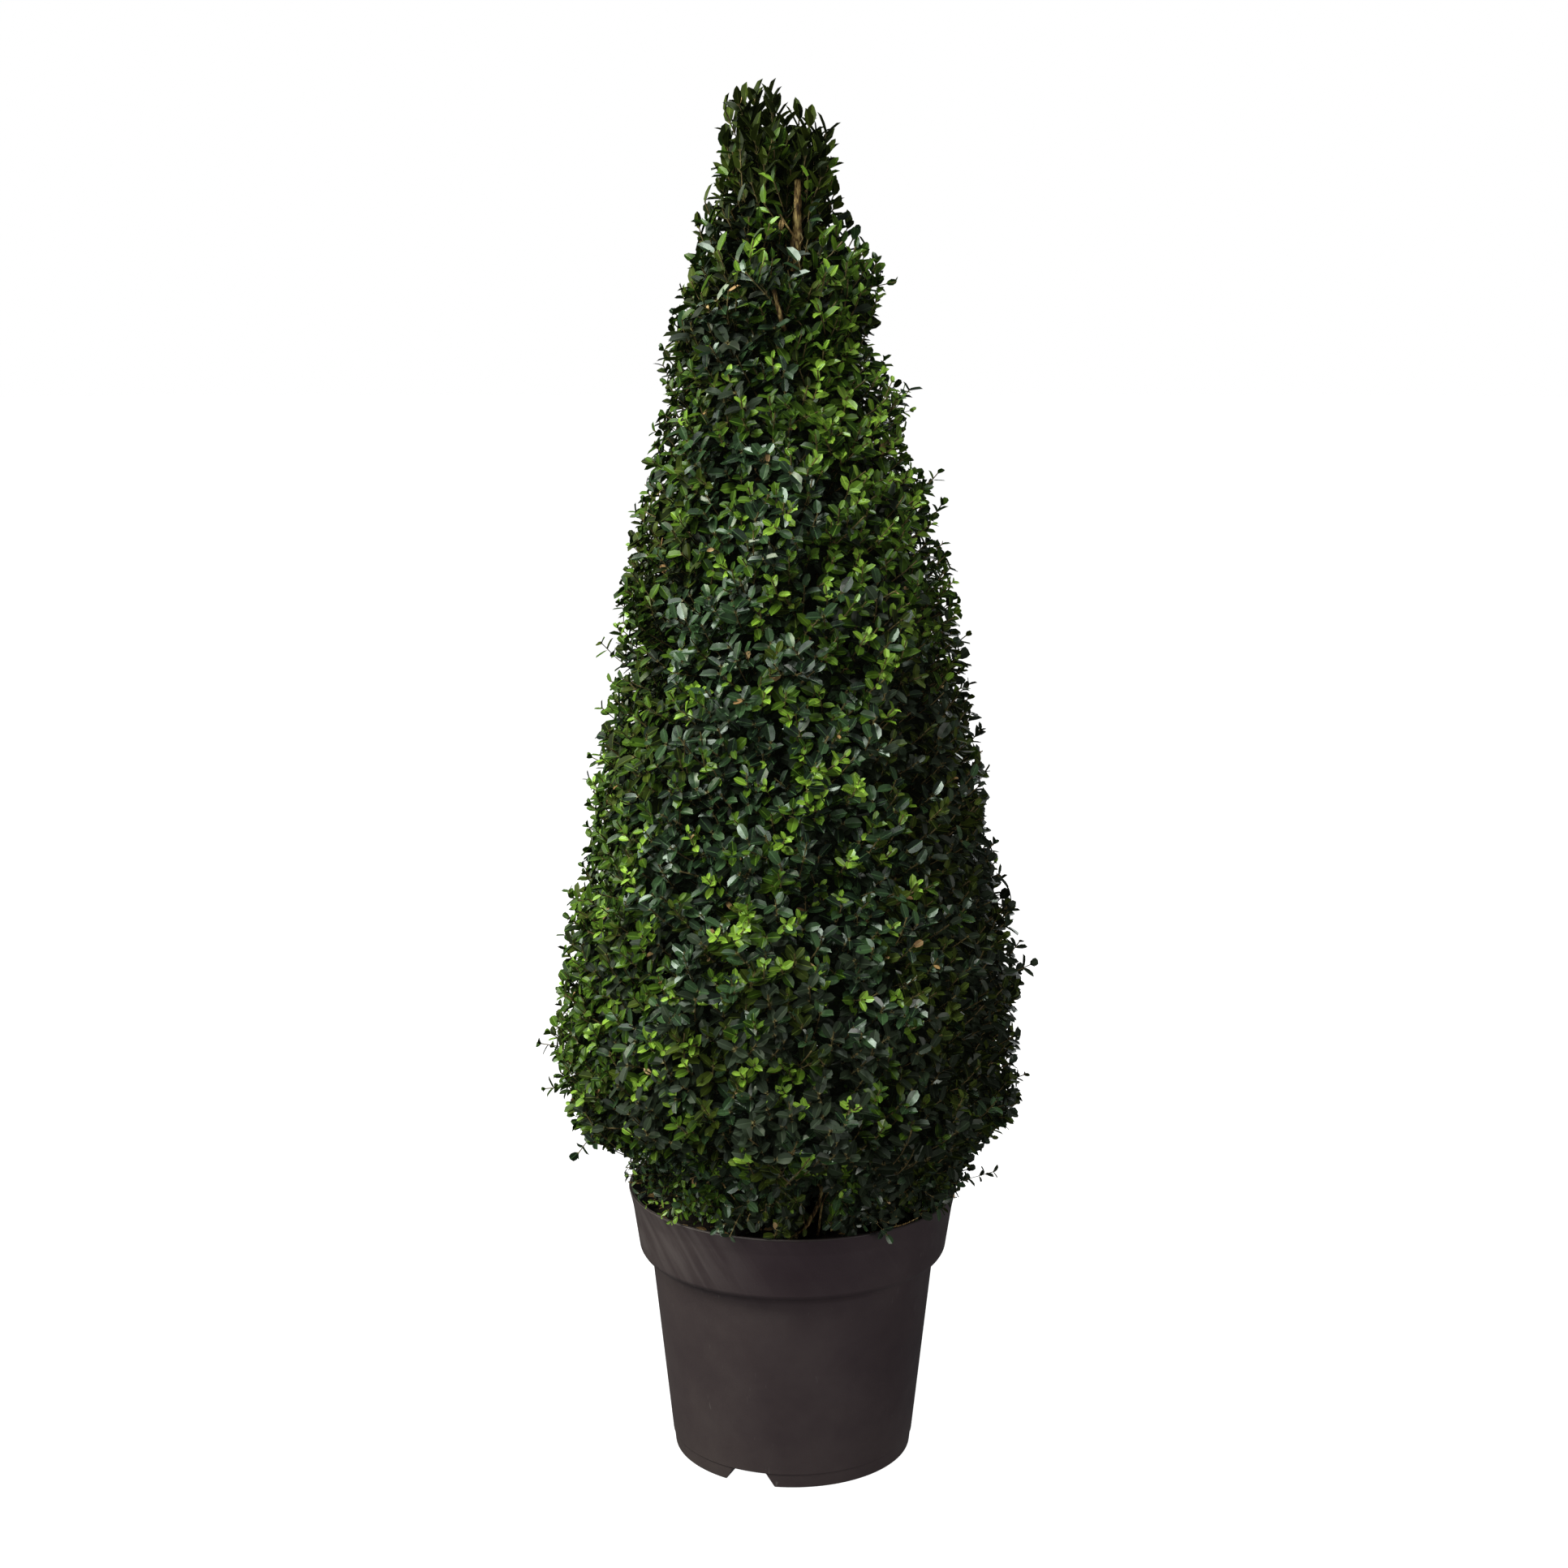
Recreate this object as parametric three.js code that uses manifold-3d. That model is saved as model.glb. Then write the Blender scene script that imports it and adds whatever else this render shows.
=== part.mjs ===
// A boxwood clipped to a cone, growing in a plain nursery container.
// Units are millimetres and +Z is up. The origin is the centre of the container's flat underside.
// The front of the plant looks along -Y, and angles are degrees round +Z from +X.

import * as THREE from 'three';
import { mergeVertices } from 'three/addons/utils/BufferGeometryUtils.js';
import Module from 'manifold-3d';

const wasm = await Module();
wasm.setup();

// Container
const POT_HEIGHT = 333;
const RIM_RADIUS = 200;
const LIP_HEIGHT = 7;
const LIP_OVERHANG = 2;
const COLLAR_FOOT_RADIUS = 187;
const SHOULDER_HEIGHT = 252;
const BODY_TOP_RADIUS = 173;
const BASE_RADIUS = 146;
const BASE_BAND_HEIGHT = 17;
const BASE_BAND_STEP = 1;
const WALL = 3;
const EDGE = 2;
const POT_SEGMENTS = 40;

// Drainage channels, raised under the floor, which show as notches at the foot of the wall
const CHANNEL_ANGLES = [249, 9, 129];
const CHANNEL_HEIGHT = 17;
const CHANNEL_TOP_WIDTH = 42;
const CHANNEL_FOOT_WIDTH = 64;
const CHANNEL_START = 52;
const CHANNEL_END = 170;
const DRAIN_RADIUS = 7;
const DRAIN_DISTANCE = 98;

// Compost
const SOIL_TOP = 318;
const SOIL_EDGE_DROP = 6;
const SOIL_FLAT_RADIUS = 150;

// Woody limbs
const GAP = 0.3;
const TRUNK_FOOT_RADIUS = 14;
const TRUNK_TIP_RADIUS = 5.5;
const ROOT_FLARE = 8;
const ROOT_FLARE_HEIGHT = 22;
const KNOT_HEIGHT = 1459;
const KNOT_SWELL = 2.4;
const TIP_TAPER = 1.4;
const TIP_TAPER_LENGTH = 24;
const TRUNK_SIDES = 9;
const TRUNK_STEPS = 22;
const BOUGH_SIDES = 6;
const BOUGH_STEPS = 6;
const STEM_TOP = SOIL_TOP + GAP;

// Crown: how far it reaches to the left and to the right of the container's middle line at rising heights
const OUTLINE = [
  [318, 198, 206], [345, 200, 222], [384, 200, 240], [406, 262, 261], [446, 287, 275], [495, 289, 270],
  [560, 280, 266], [617, 275, 274], [689, 264, 258], [760, 240, 232], [855, 240, 229], [948, 214, 205],
  [1040, 203, 192], [1132, 186, 168], [1177, 177, 167], [1222, 165, 130], [1289, 148, 128],
  [1355, 146, 88], [1399, 127, 100], [1446, 118, 92], [1486, 108, 60], [1529, 88, 54], [1593, 91, 43],
  [1636, 70, 20],
];
const SKIRT_FOOT = 342;
const SKIRT_TOP = 560;
const SKIRT_TUCK = 36;
const SKIRT_TUCK_REACH = 100;
const CROWN_FOOT = 398;
const DISH_FOOT_RADIUS = 132;
const DISH_TOP_RADIUS = 114;
const TUFT_FOOT = 1446;
const TUFT_SPLIT = -10;
const TUFT_LEFT_TOP = 1636;
const TUFT_RIGHT_TOP = 1604;

// Leaves and twigs
const LEAF_DEPTH = 30;
const TUFT_LEAF_DEPTH = 17;
const HEAD_DEPTH = 34;
const CORE_SEGMENTS = 18;
const LEAF_LENGTH = 46;
const LEAF_WIDTH = 25;
const LEAF_THICKNESS = 2;
const LEAF_SINK = 11;
const TWIG_RADIUS = 2.4;
const TWIG_SINK = 9;
const SHOOT_LIFT = 0.75;
const SPACE_MARGIN = 0.6;
const LEAF_SPACING = 77;
const TUFT_LEAF_SPACING = 54;
const TWIGS_EVERY = 5;
const GOLDEN_ANGLE = Math.PI * (3 - Math.sqrt(5));

const radians = (degrees) => THREE.MathUtils.degToRad(degrees);
const polar = (degrees, radius, height) => new THREE.Vector3(
  radius * Math.cos(radians(degrees)), radius * Math.sin(radians(degrees)), height);

// A repeatable stream of numbers from 0 to 1
function seeded(seed) {
  let state = seed >>> 0;
  return () => {
    state = (Math.imul(state, 1664525) + 1013904223) >>> 0;
    return state / 4294967296;
  };
}

// Straight-line interpolation in a list of [position, value] pairs
function along(pairs, position) {
  const after = pairs.findIndex(([at]) => at >= position);
  if (after === 0) return pairs[0][1];
  if (after < 0) return pairs[pairs.length - 1][1];
  const [a, va] = pairs[after - 1];
  const [b, vb] = pairs[after];
  return va + (vb - va) * (position - a) / (b - a);
}

// A closed geometry as a solid that can be joined and cut
function solidOf(geometry) {
  const bare = new THREE.BufferGeometry();
  const source = geometry.index ? geometry.toNonIndexed() : geometry;
  bare.setAttribute('position', source.getAttribute('position'));
  const merged = mergeVertices(bare, 1e-3);
  const corners = merged.index.array;
  const kept = [];
  for (let i = 0; i < corners.length; i += 3) {
    const [a, b, c] = [corners[i], corners[i + 1], corners[i + 2]];
    if (a !== b && b !== c && c !== a) kept.push(a, b, c);
  }
  const solidFrom = (triangles) => new wasm.Manifold(new wasm.Mesh({
    numProp: 3,
    vertProperties: merged.attributes.position.array,
    triVerts: new Uint32Array(triangles),
  }));
  const made = solidFrom(kept);
  if (made.volume() > 0) return made;
  return solidFrom(kept.reverse());
}

// A solid back as a geometry, with flat shaded faces
function geometryOf(solid) {
  const mesh = solid.getMesh();
  const geometry = new THREE.BufferGeometry();
  geometry.setAttribute('position', new THREE.BufferAttribute(new Float32Array(mesh.vertProperties), 3));
  geometry.setIndex(new THREE.BufferAttribute(new Uint32Array(mesh.triVerts), 1));
  const flat = geometry.toNonIndexed();
  flat.computeVertexNormals();
  return flat;
}

const largestBody = (solid) => solid.decompose().sort((a, b) => b.volume() - a.volume())[0];

// A profile of [radius, height] pairs turned round +Z
function turned(profile, segments) {
  const geometry = new THREE.LatheGeometry(profile.map(([r, z]) => new THREE.Vector2(r, z)), segments);
  return solidOf(geometry.rotateX(Math.PI / 2));
}

function bodyRadius(height) {
  return THREE.MathUtils.mapLinear(height, 0, SHOULDER_HEIGHT, BASE_RADIUS, BODY_TOP_RADIUS);
}

function collarRadius(height) {
  const top = RIM_RADIUS - LIP_OVERHANG;
  return THREE.MathUtils.mapLinear(height, SHOULDER_HEIGHT, POT_HEIGHT, COLLAR_FOOT_RADIUS, top);
}

// The container's outside, from its underside up to the top of the lip
function outsideProfile() {
  return [
    [0, 0],
    [BASE_RADIUS - EDGE - BASE_BAND_STEP, 0],
    [BASE_RADIUS - BASE_BAND_STEP, EDGE],
    [bodyRadius(BASE_BAND_HEIGHT) - BASE_BAND_STEP, BASE_BAND_HEIGHT],
    [bodyRadius(BASE_BAND_HEIGHT + BASE_BAND_STEP), BASE_BAND_HEIGHT + BASE_BAND_STEP],
    [bodyRadius(SHOULDER_HEIGHT) - EDGE, SHOULDER_HEIGHT - EDGE * 3],
    [bodyRadius(SHOULDER_HEIGHT) + EDGE, SHOULDER_HEIGHT],
    [COLLAR_FOOT_RADIUS - EDGE, SHOULDER_HEIGHT],
    [COLLAR_FOOT_RADIUS, SHOULDER_HEIGHT + EDGE],
    [collarRadius(POT_HEIGHT - LIP_HEIGHT), POT_HEIGHT - LIP_HEIGHT],
    [RIM_RADIUS, POT_HEIGHT - LIP_HEIGHT + EDGE],
    [RIM_RADIUS, POT_HEIGHT - EDGE],
    [RIM_RADIUS - EDGE, POT_HEIGHT],
  ];
}

// The container's inside, from the lip down to the floor, moved in by a clearance
function insideProfile(clearance) {
  const inset = WALL + clearance;
  return [
    [collarRadius(POT_HEIGHT) - inset + 1, POT_HEIGHT],
    [collarRadius(POT_HEIGHT) - inset, POT_HEIGHT - EDGE],
    [COLLAR_FOOT_RADIUS - inset, SHOULDER_HEIGHT + inset + EDGE],
    [COLLAR_FOOT_RADIUS - inset - EDGE, SHOULDER_HEIGHT + inset],
    [BODY_TOP_RADIUS - inset, SHOULDER_HEIGHT + inset],
    [BODY_TOP_RADIUS - inset - EDGE, SHOULDER_HEIGHT - EDGE * 3],
    [bodyRadius(inset + EDGE) - BASE_BAND_STEP - inset, inset + EDGE],
    [BASE_RADIUS - BASE_BAND_STEP - inset - EDGE, inset],
    [0, inset],
  ];
}

// A radial bar of trapezoid section, standing on the ground at one compass angle
function channelBar(angle, skin) {
  const foot = CHANNEL_FOOT_WIDTH / 2 + skin;
  const top = CHANNEL_TOP_WIDTH / 2 + skin * 0.6;
  const height = CHANNEL_HEIGHT + skin;
  const section = new THREE.Shape([
    new THREE.Vector2(-foot - skin * 0.4, -1),
    new THREE.Vector2(foot + skin * 0.4, -1),
    new THREE.Vector2(top, height),
    new THREE.Vector2(-top, height),
  ]);
  const start = CHANNEL_START - skin;
  const bar = new THREE.ExtrudeGeometry(section, { depth: CHANNEL_END - start, bevelEnabled: false });
  bar.rotateX(Math.PI / 2).rotateZ(Math.PI / 2).rotateZ(Math.PI);
  bar.applyMatrix4(new THREE.Matrix4().makeTranslation(start, 0, 0));
  bar.computeBoundingBox();
  if (bar.boundingBox.max.x < CHANNEL_END - 1) bar.translate(CHANNEL_END - start, 0, 0);
  return solidOf(bar.rotateZ(radians(angle)));
}

function drainHole(angle) {
  const hole = new THREE.CylinderGeometry(DRAIN_RADIUS, DRAIN_RADIUS, CHANNEL_HEIGHT * 2, 12);
  const at = polar(angle, DRAIN_DISTANCE, CHANNEL_HEIGHT);
  return solidOf(hole.rotateX(Math.PI / 2).translate(at.x, at.y, at.z));
}

function makePot() {
  const outside = outsideProfile();
  const shell = turned([...outside, ...insideProfile(0)], POT_SEGMENTS);
  const full = turned([...outside, [0, POT_HEIGHT]], POT_SEGMENTS);
  return CHANNEL_ANGLES.reduce((pot, angle) => pot
    .add(channelBar(angle, WALL).intersect(full))
    .subtract(channelBar(angle, 0))
    .subtract(drainHole(angle)), shell);
}

function makeSoil() {
  const edgeHeight = SOIL_TOP - SOIL_EDGE_DROP;
  const wallProfile = insideProfile(GAP).filter(([, z]) => z < edgeHeight);
  const edgeRadius = collarRadius(edgeHeight) - WALL - GAP * 2;
  const fill = turned([[0, SOIL_TOP], [SOIL_FLAT_RADIUS, SOIL_TOP], [edgeRadius, edgeHeight], ...wallProfile],
    POT_SEGMENTS);
  return CHANNEL_ANGLES.reduce((soil, angle) => soil.subtract(channelBar(angle, WALL + GAP)), fill);
}

// A limb of round section that follows a curve and tapers by a rule
function limb(points, radiusAt, sides, steps) {
  const curve = new THREE.CatmullRomCurve3(points);
  const frames = curve.computeFrenetFrames(steps, false);
  const rod = new THREE.CylinderGeometry(1, 1, 1, sides, steps);
  const position = rod.getAttribute('position');
  const corner = new THREE.Vector3();
  for (let i = 0; i < position.count; i += 1) {
    corner.fromBufferAttribute(position, i);
    const step = Math.round((corner.y + 0.5) * steps);
    const centre = curve.getPointAt(step / steps);
    const radius = radiusAt(centre.z, step / steps);
    const level = step === 0 || step === steps ? 0 : 1;
    [[frames.normals[step], corner.x], [frames.binormals[step], corner.z]].forEach(([axis, share]) => {
      centre.addScaledVector(axis.clone().setZ(axis.z * level), share * radius);
    });
    position.setXYZ(i, centre.x, centre.y, centre.z);
  }
  return solidOf(rod);
}

// The leader runs up the middle, leans to the front near its top and ends in a cut stub
const TRUNK_LINE = [
  new THREE.Vector3(0, 0, STEM_TOP),
  new THREE.Vector3(0, 0, STEM_TOP + 30),
  new THREE.Vector3(-6, 5, 560),
  new THREE.Vector3(5, -3, 840),
  new THREE.Vector3(-5, -8, 1120),
  new THREE.Vector3(1, -30, 1360),
  new THREE.Vector3(3, -42, 1445),
  new THREE.Vector3(5, -46, 1523),
];

function trunkRadius(height) {
  const top = TRUNK_LINE[TRUNK_LINE.length - 1].z;
  const up = (height - STEM_TOP) / (top - STEM_TOP);
  const flare = ROOT_FLARE * Math.exp(-(height - STEM_TOP) / ROOT_FLARE_HEIGHT);
  const knot = KNOT_SWELL * Math.exp(-(((height - KNOT_HEIGHT) / 14) ** 2));
  const drawnIn = TIP_TAPER * THREE.MathUtils.clamp(1 - (top - height) / TIP_TAPER_LENGTH, 0, 1);
  return TRUNK_FOOT_RADIUS + (TRUNK_TIP_RADIUS - TRUNK_FOOT_RADIUS) * up ** 0.8 + flare + knot - drawnIn;
}

const makeTrunk = (clearance) => limb(TRUNK_LINE, (height) => trunkRadius(height) + clearance,
  TRUNK_SIDES, TRUNK_STEPS);

// Stems that rise from the compost round the leader and end where the skirt of foliage begins.
// Each has the angle and distance of its foot and of its tip, and the radius of its foot.
const BOUGHS = [
  { name: 'bough_front', foot: [269, 158], tip: [278, 160], radius: 5.5 },
  { name: 'bough_front_left', foot: [232, 70], tip: [226, 92], radius: 6 },
  { name: 'bough_left', foot: [186, 66], tip: [178, 94], radius: 6.5 },
  { name: 'bough_back_left', foot: [133, 68], tip: [138, 92], radius: 6 },
  { name: 'bough_back', foot: [84, 64], tip: [80, 94], radius: 6.5 },
  { name: 'bough_right', foot: [22, 66], tip: [16, 92], radius: 6 },
  { name: 'bough_front_right', foot: [318, 70], tip: [324, 94], radius: 6 },
];

function boughLine({ foot, tip }, clearance) {
  const start = polar(foot[0], foot[1], STEM_TOP);
  const end = polar(tip[0], tip[1], CROWN_FOOT - GAP + clearance);
  const middle = start.clone().lerp(end, 0.4).setZ(STEM_TOP + (end.z - start.z) * 0.6);
  return [start, start.clone().setZ(STEM_TOP + 12), middle, end];
}

const makeBough = (bough, clearance) => limb(boughLine(bough, clearance),
  (height, share) => bough.radius * (1 - 0.35 * share) + 2.5 * Math.exp(-share * 9) + clearance,
  BOUGH_SIDES, BOUGH_STEPS);

// Gaps in the foliage that show a limb: round the cut leader, and where the front stem comes up
const WINDOWS = [
  { centre: [5, -104, 1462], radii: [24, 62, 66] },
  { centre: [8, -200, 352], radii: [44, 46, 42] },
];

const inWindow = (point) => WINDOWS.some(({ centre, radii }) => Math.hypot(
  (point.x - centre[0]) / radii[0], (point.y - centre[1]) / radii[1], (point.z - centre[2]) / radii[2]) < 1);

const LEFT_EDGE = OUTLINE.map(([height, left]) => [height, -left]);
const RIGHT_EDGE = OUTLINE.map(([height, , right]) => [height, right]);

// The masses of foliage. Each keeps between two heights, and a skirt or a tuft also keeps to one side
// of upright planes, each given as [outward angle, place along that angle].
const MASSES = [
  { name: 'foliage_skirt_front_left', from: SKIRT_FOOT, to: SKIRT_TOP, sides: [[0, 0], [90, 0]] },
  { name: 'foliage_skirt_front_right', from: SKIRT_FOOT, to: SKIRT_TOP, sides: [[180, 0], [90, 0]] },
  { name: 'foliage_skirt_back_right', from: SKIRT_FOOT, to: SKIRT_TOP, sides: [[180, 0], [270, 0]] },
  { name: 'foliage_skirt_back_left', from: SKIRT_FOOT, to: SKIRT_TOP, sides: [[0, 0], [270, 0]] },
  { name: 'foliage_lower', from: SKIRT_TOP, to: 750, sides: [] },
  { name: 'foliage_middle', from: 750, to: 960, sides: [] },
  { name: 'foliage_upper', from: 960, to: 1200, sides: [] },
  { name: 'foliage_top', from: 1200, to: TUFT_FOOT, sides: [] },
  { name: 'foliage_tuft_left', from: TUFT_FOOT, to: TUFT_LEFT_TOP, sides: [[0, TUFT_SPLIT]] },
  { name: 'foliage_tuft_right', from: TUFT_FOOT, to: TUFT_RIGHT_TOP, sides: [[180, -TUFT_SPLIT]] },
];
const isSkirt = (mass) => mass.from === SKIRT_FOOT;
const isTuft = (mass) => mass.from === TUFT_FOOT;

// Shoots that the clipping missed, as the angle, height and distance of each tip
const STRAY_TIPS = [
  { angle: 181, height: 509, reach: 305 },
  { angle: 187, height: 462, reach: 300 },
  { angle: 190, height: 384, reach: 262 },
  { angle: 348, height: 363, reach: 247 },
  { angle: 350, height: 620, reach: 286 },
  { angle: 4, height: 462, reach: 284 },
  { angle: 355, height: 1412, reach: 116 },
  { angle: 2, height: 1290, reach: 134 },
  { angle: 356, height: 1196, reach: 168 },
  { angle: 178, height: 995, reach: 226 },
  { angle: 118, height: 520, reach: 296 },
  { angle: 60, height: 960, reach: 226 },
];

// The left and right limits of a mass at a height. Two tufts share the width of the crown's top.
function limits(mass, height) {
  const left = isTuft(mass) && mass.to === TUFT_RIGHT_TOP ? TUFT_SPLIT : along(LEFT_EDGE, height);
  const right = isTuft(mass) && mass.to === TUFT_LEFT_TOP ? TUFT_SPLIT : along(RIGHT_EDGE, height);
  return [left, right];
}

function centreOf(mass, height) {
  const [left, right] = limits(mass, height);
  return (left + right) / 2;
}

// Soft lumps keep the clipped surface from being a perfect cone, and leave its measured sides as they are
function lump(angle, height) {
  const share = Math.abs(Math.sin(angle));
  return 1 + share * (0.035 * Math.sin(3 * angle + height / 95) + 0.025 * Math.sin(7 * angle - height / 62));
}

// The height whose outline a place has. Under the skirt the shears went in further at the front and back.
function outlineHeight(angle, height) {
  const low = THREE.MathUtils.clamp((SKIRT_TOP - 20 - height) / SKIRT_TUCK_REACH, 0, 1);
  return Math.max(height - SKIRT_TUCK * Math.abs(Math.sin(angle)) * low, Math.min(height, SKIRT_FOOT));
}

// The clipped surface of a mass: round, but for the tufts, which are deeper than they are wide
function surfaceRadius(mass, angle, height) {
  const [left, right] = limits(mass, outlineHeight(angle, height));
  const wide = (right - left) / 2;
  const deep = isTuft(mass) ? (along(RIGHT_EDGE, height) - along(LEFT_EDGE, height)) * 0.42 : wide;
  return lump(angle, height) / Math.hypot(Math.cos(angle) / wide, Math.sin(angle) / deep);
}

const leafDepth = (mass) => (isTuft(mass) ? TUFT_LEAF_DEPTH : LEAF_DEPTH);

function coreRadius(mass, angle, height) {
  return Math.max(7, surfaceRadius(mass, angle, height) - leafDepth(mass));
}

// A point on a mass's core or surface, by its angle, height and how far out it lies
function onMass(mass, angle, height, distance) {
  return new THREE.Vector3(centreOf(mass, height) + distance * Math.cos(angle), distance * Math.sin(angle),
    height);
}

// The least distance from a point to the middle line of a limb
function distanceToLine(points, point) {
  return Math.min(...points.slice(1).map((end, i) => {
    const segment = new THREE.Line3(points[i], end);
    return segment.closestPointToPoint(point, true, new THREE.Vector3()).distanceTo(point);
  }));
}

const BOUGH_LINES = BOUGHS.map((bough) => boughLine(bough, 0));

// Whether a point lies clear of the container, the compost and the woody limbs
function clearOfTheRest(point) {
  const distance = Math.hypot(point.x, point.y);
  if (point.z < SOIL_TOP + 4 && distance < RIM_RADIUS + 3) return false;
  if (point.z < POT_HEIGHT + 3 && distance > RIM_RADIUS - 20 && distance < RIM_RADIUS + 3) return false;
  if (point.z < POT_HEIGHT - 45) return false;
  if (distanceToLine(TRUNK_LINE, point) < trunkRadius(Math.max(STEM_TOP, point.z)) + 4) return false;
  return point.z > CROWN_FOOT || BOUGH_LINES.every((line) => distanceToLine(line, point) > 11);
}

// Whether a point lies in a mass's own space. Its floor and ceiling rise outwards, as shoots do.
function inSpace(mass, point, margin) {
  const crown = MASSES[4];
  const x = point.x - centreOf(crown, point.z);
  const angle = Math.atan2(point.y, x);
  const out = Math.max(0, Math.hypot(x, point.y) - coreRadius(crown, angle, point.z));
  const level = point.z - SHOOT_LIFT * out;
  if (!isTuft(mass) && level > mass.to - margin) return false;
  if (!isSkirt(mass) && level < mass.from + margin) return false;
  return !inWindow(point) && mass.sides.every(([side, place]) => (
    point.x * Math.cos(radians(side)) + point.y * Math.sin(radians(side)) < place - margin));
}

// The dense heart of a mass, inside the leaves, cut clear of the limbs
function makeCore(mass) {
  const top = isTuft(mass) ? mass.to - HEAD_DEPTH : mass.to - GAP / 2;
  const bottom = mass.from + GAP / 2;
  const levels = [bottom, ...OUTLINE.map(([height]) => height)
    .filter((height) => height > bottom + 8 && height < top - 8), top];
  const drum = new THREE.CylinderGeometry(1, 1, 1, CORE_SEGMENTS, levels.length - 1);
  const position = drum.getAttribute('position');
  for (let i = 0; i < position.count; i += 1) {
    const height = levels[Math.round((position.getY(i) + 0.5) * (levels.length - 1))];
    const angle = Math.atan2(position.getX(i), position.getZ(i));
    const share = Math.hypot(position.getX(i), position.getZ(i));
    const point = onMass(mass, angle, height, share * coreRadius(mass, angle, height));
    position.setXYZ(i, point.x, point.y, point.z);
  }
  const tools = mass.sides.map(([side, place]) => {
    const block = new THREE.BoxGeometry(1200, 1200, 2000);
    return solidOf(block.translate(600 + place - GAP / 2, 0, 1000).rotateZ(radians(side)));
  });
  tools.push(makeTrunk(GAP), ...WINDOWS.map(({ centre, radii }) => solidOf(
    new THREE.IcosahedronGeometry(1, 1).scale(...radii).translate(...centre))));
  if (isSkirt(mass)) {
    tools.push(turned([[0, SKIRT_FOOT - 5], [DISH_FOOT_RADIUS, SKIRT_FOOT - 5], [DISH_TOP_RADIUS, CROWN_FOOT],
      [0, CROWN_FOOT]], CORE_SEGMENTS));
    tools.push(...BOUGHS.map((bough) => makeBough(bough, GAP)));
  }
  return tools.reduce((core, tool) => core.subtract(tool), solidOf(drum));
}

// Turns a flat shape that points along +X to point along a direction from a place. Without a roll its
// breadth stays level, so that a leaf shows its face to the sky and to whoever looks at the plant.
function placed(geometry, place, direction, roll) {
  const across = new THREE.Vector3(0, 0, 1).cross(direction);
  if (across.length() < 0.05) across.set(0, 1, 0);
  across.normalize().applyAxisAngle(direction, roll);
  const face = direction.clone().cross(across);
  return geometry.applyMatrix4(new THREE.Matrix4().makeBasis(direction, across, face).setPosition(place));
}

// A leaf of eight faces, widest a little beyond its middle, whose root is at the place
function leaf(place, direction, roll, length) {
  const size = length / LEAF_LENGTH;
  const blade = new THREE.OctahedronGeometry(0.5);
  blade.scale(length, LEAF_WIDTH * size, LEAF_THICKNESS);
  return placed(blade.translate(length / 2, 0, 0), place, direction, roll);
}

function twig(from, to, radius) {
  const length = from.distanceTo(to);
  const rod = new THREE.CylinderGeometry(radius * 0.6, radius, length, 3).rotateZ(-Math.PI / 2);
  return placed(rod.translate(length / 2, 0, 0), from, to.clone().sub(from).normalize(), 0);
}

// Whether a whole geometry keeps to a mass's space, by its corners and points between them
function keepsToSpace(geometry, mass) {
  const position = geometry.getAttribute('position');
  const corners = Array.from({ length: position.count }, (_, i) => new THREE.Vector3()
    .fromBufferAttribute(position, i));
  return corners.every((corner, i) => [0, 0.33, 0.67]
    .map((share) => corner.clone().lerp(corners[(i + 1) % corners.length], share))
    .every((point) => inSpace(mass, point, SPACE_MARGIN) && clearOfTheRest(point)));
}

// A leaf that stands straight out of the core, and reaches the clipped surface with its tip
function lonelyLeaf(mass, root, tip, random) {
  const direction = tip.clone().sub(root).normalize();
  const length = Math.max(root.distanceTo(tip), LEAF_LENGTH * 0.85);
  const start = tip.clone().addScaledVector(direction, -length);
  const blade = leaf(start, direction, (random() - 0.5) * 1.4, length);
  return keepsToSpace(blade, mass) ? [blade] : [];
}

// One shoot: a twig out of the core with a leaf at its tip and a pair of leaves below it
function shoot(mass, root, tip, random) {
  const direction = tip.clone().sub(root).normalize();
  const length = LEAF_LENGTH * (0.8 + 0.2 * random());
  const end = tip.clone().addScaledVector(direction, -length * 0.9);
  const roll = (random() - 0.5) * 1.2;
  const across = new THREE.Vector3(0, 0, 1).cross(direction).normalize().applyAxisAngle(direction, roll);
  const stem = twig(root, end.clone().addScaledVector(direction, 6), TWIG_RADIUS);
  if (!keepsToSpace(stem, mass)) return [];
  const blades = [leaf(end, direction, roll, length * 0.9)];
  const pair = root.clone().lerp(end, 0.72);
  [-1, 1].forEach((side) => {
    const aside = direction.clone().multiplyScalar(0.66).addScaledVector(across, side * 0.75).normalize();
    blades.push(leaf(pair, aside, roll + side * 0.3, length * 0.9));
  });
  const kept = blades.filter((blade) => keepsToSpace(blade, mass));
  return kept.length ? [stem, ...kept] : [];
}

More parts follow.
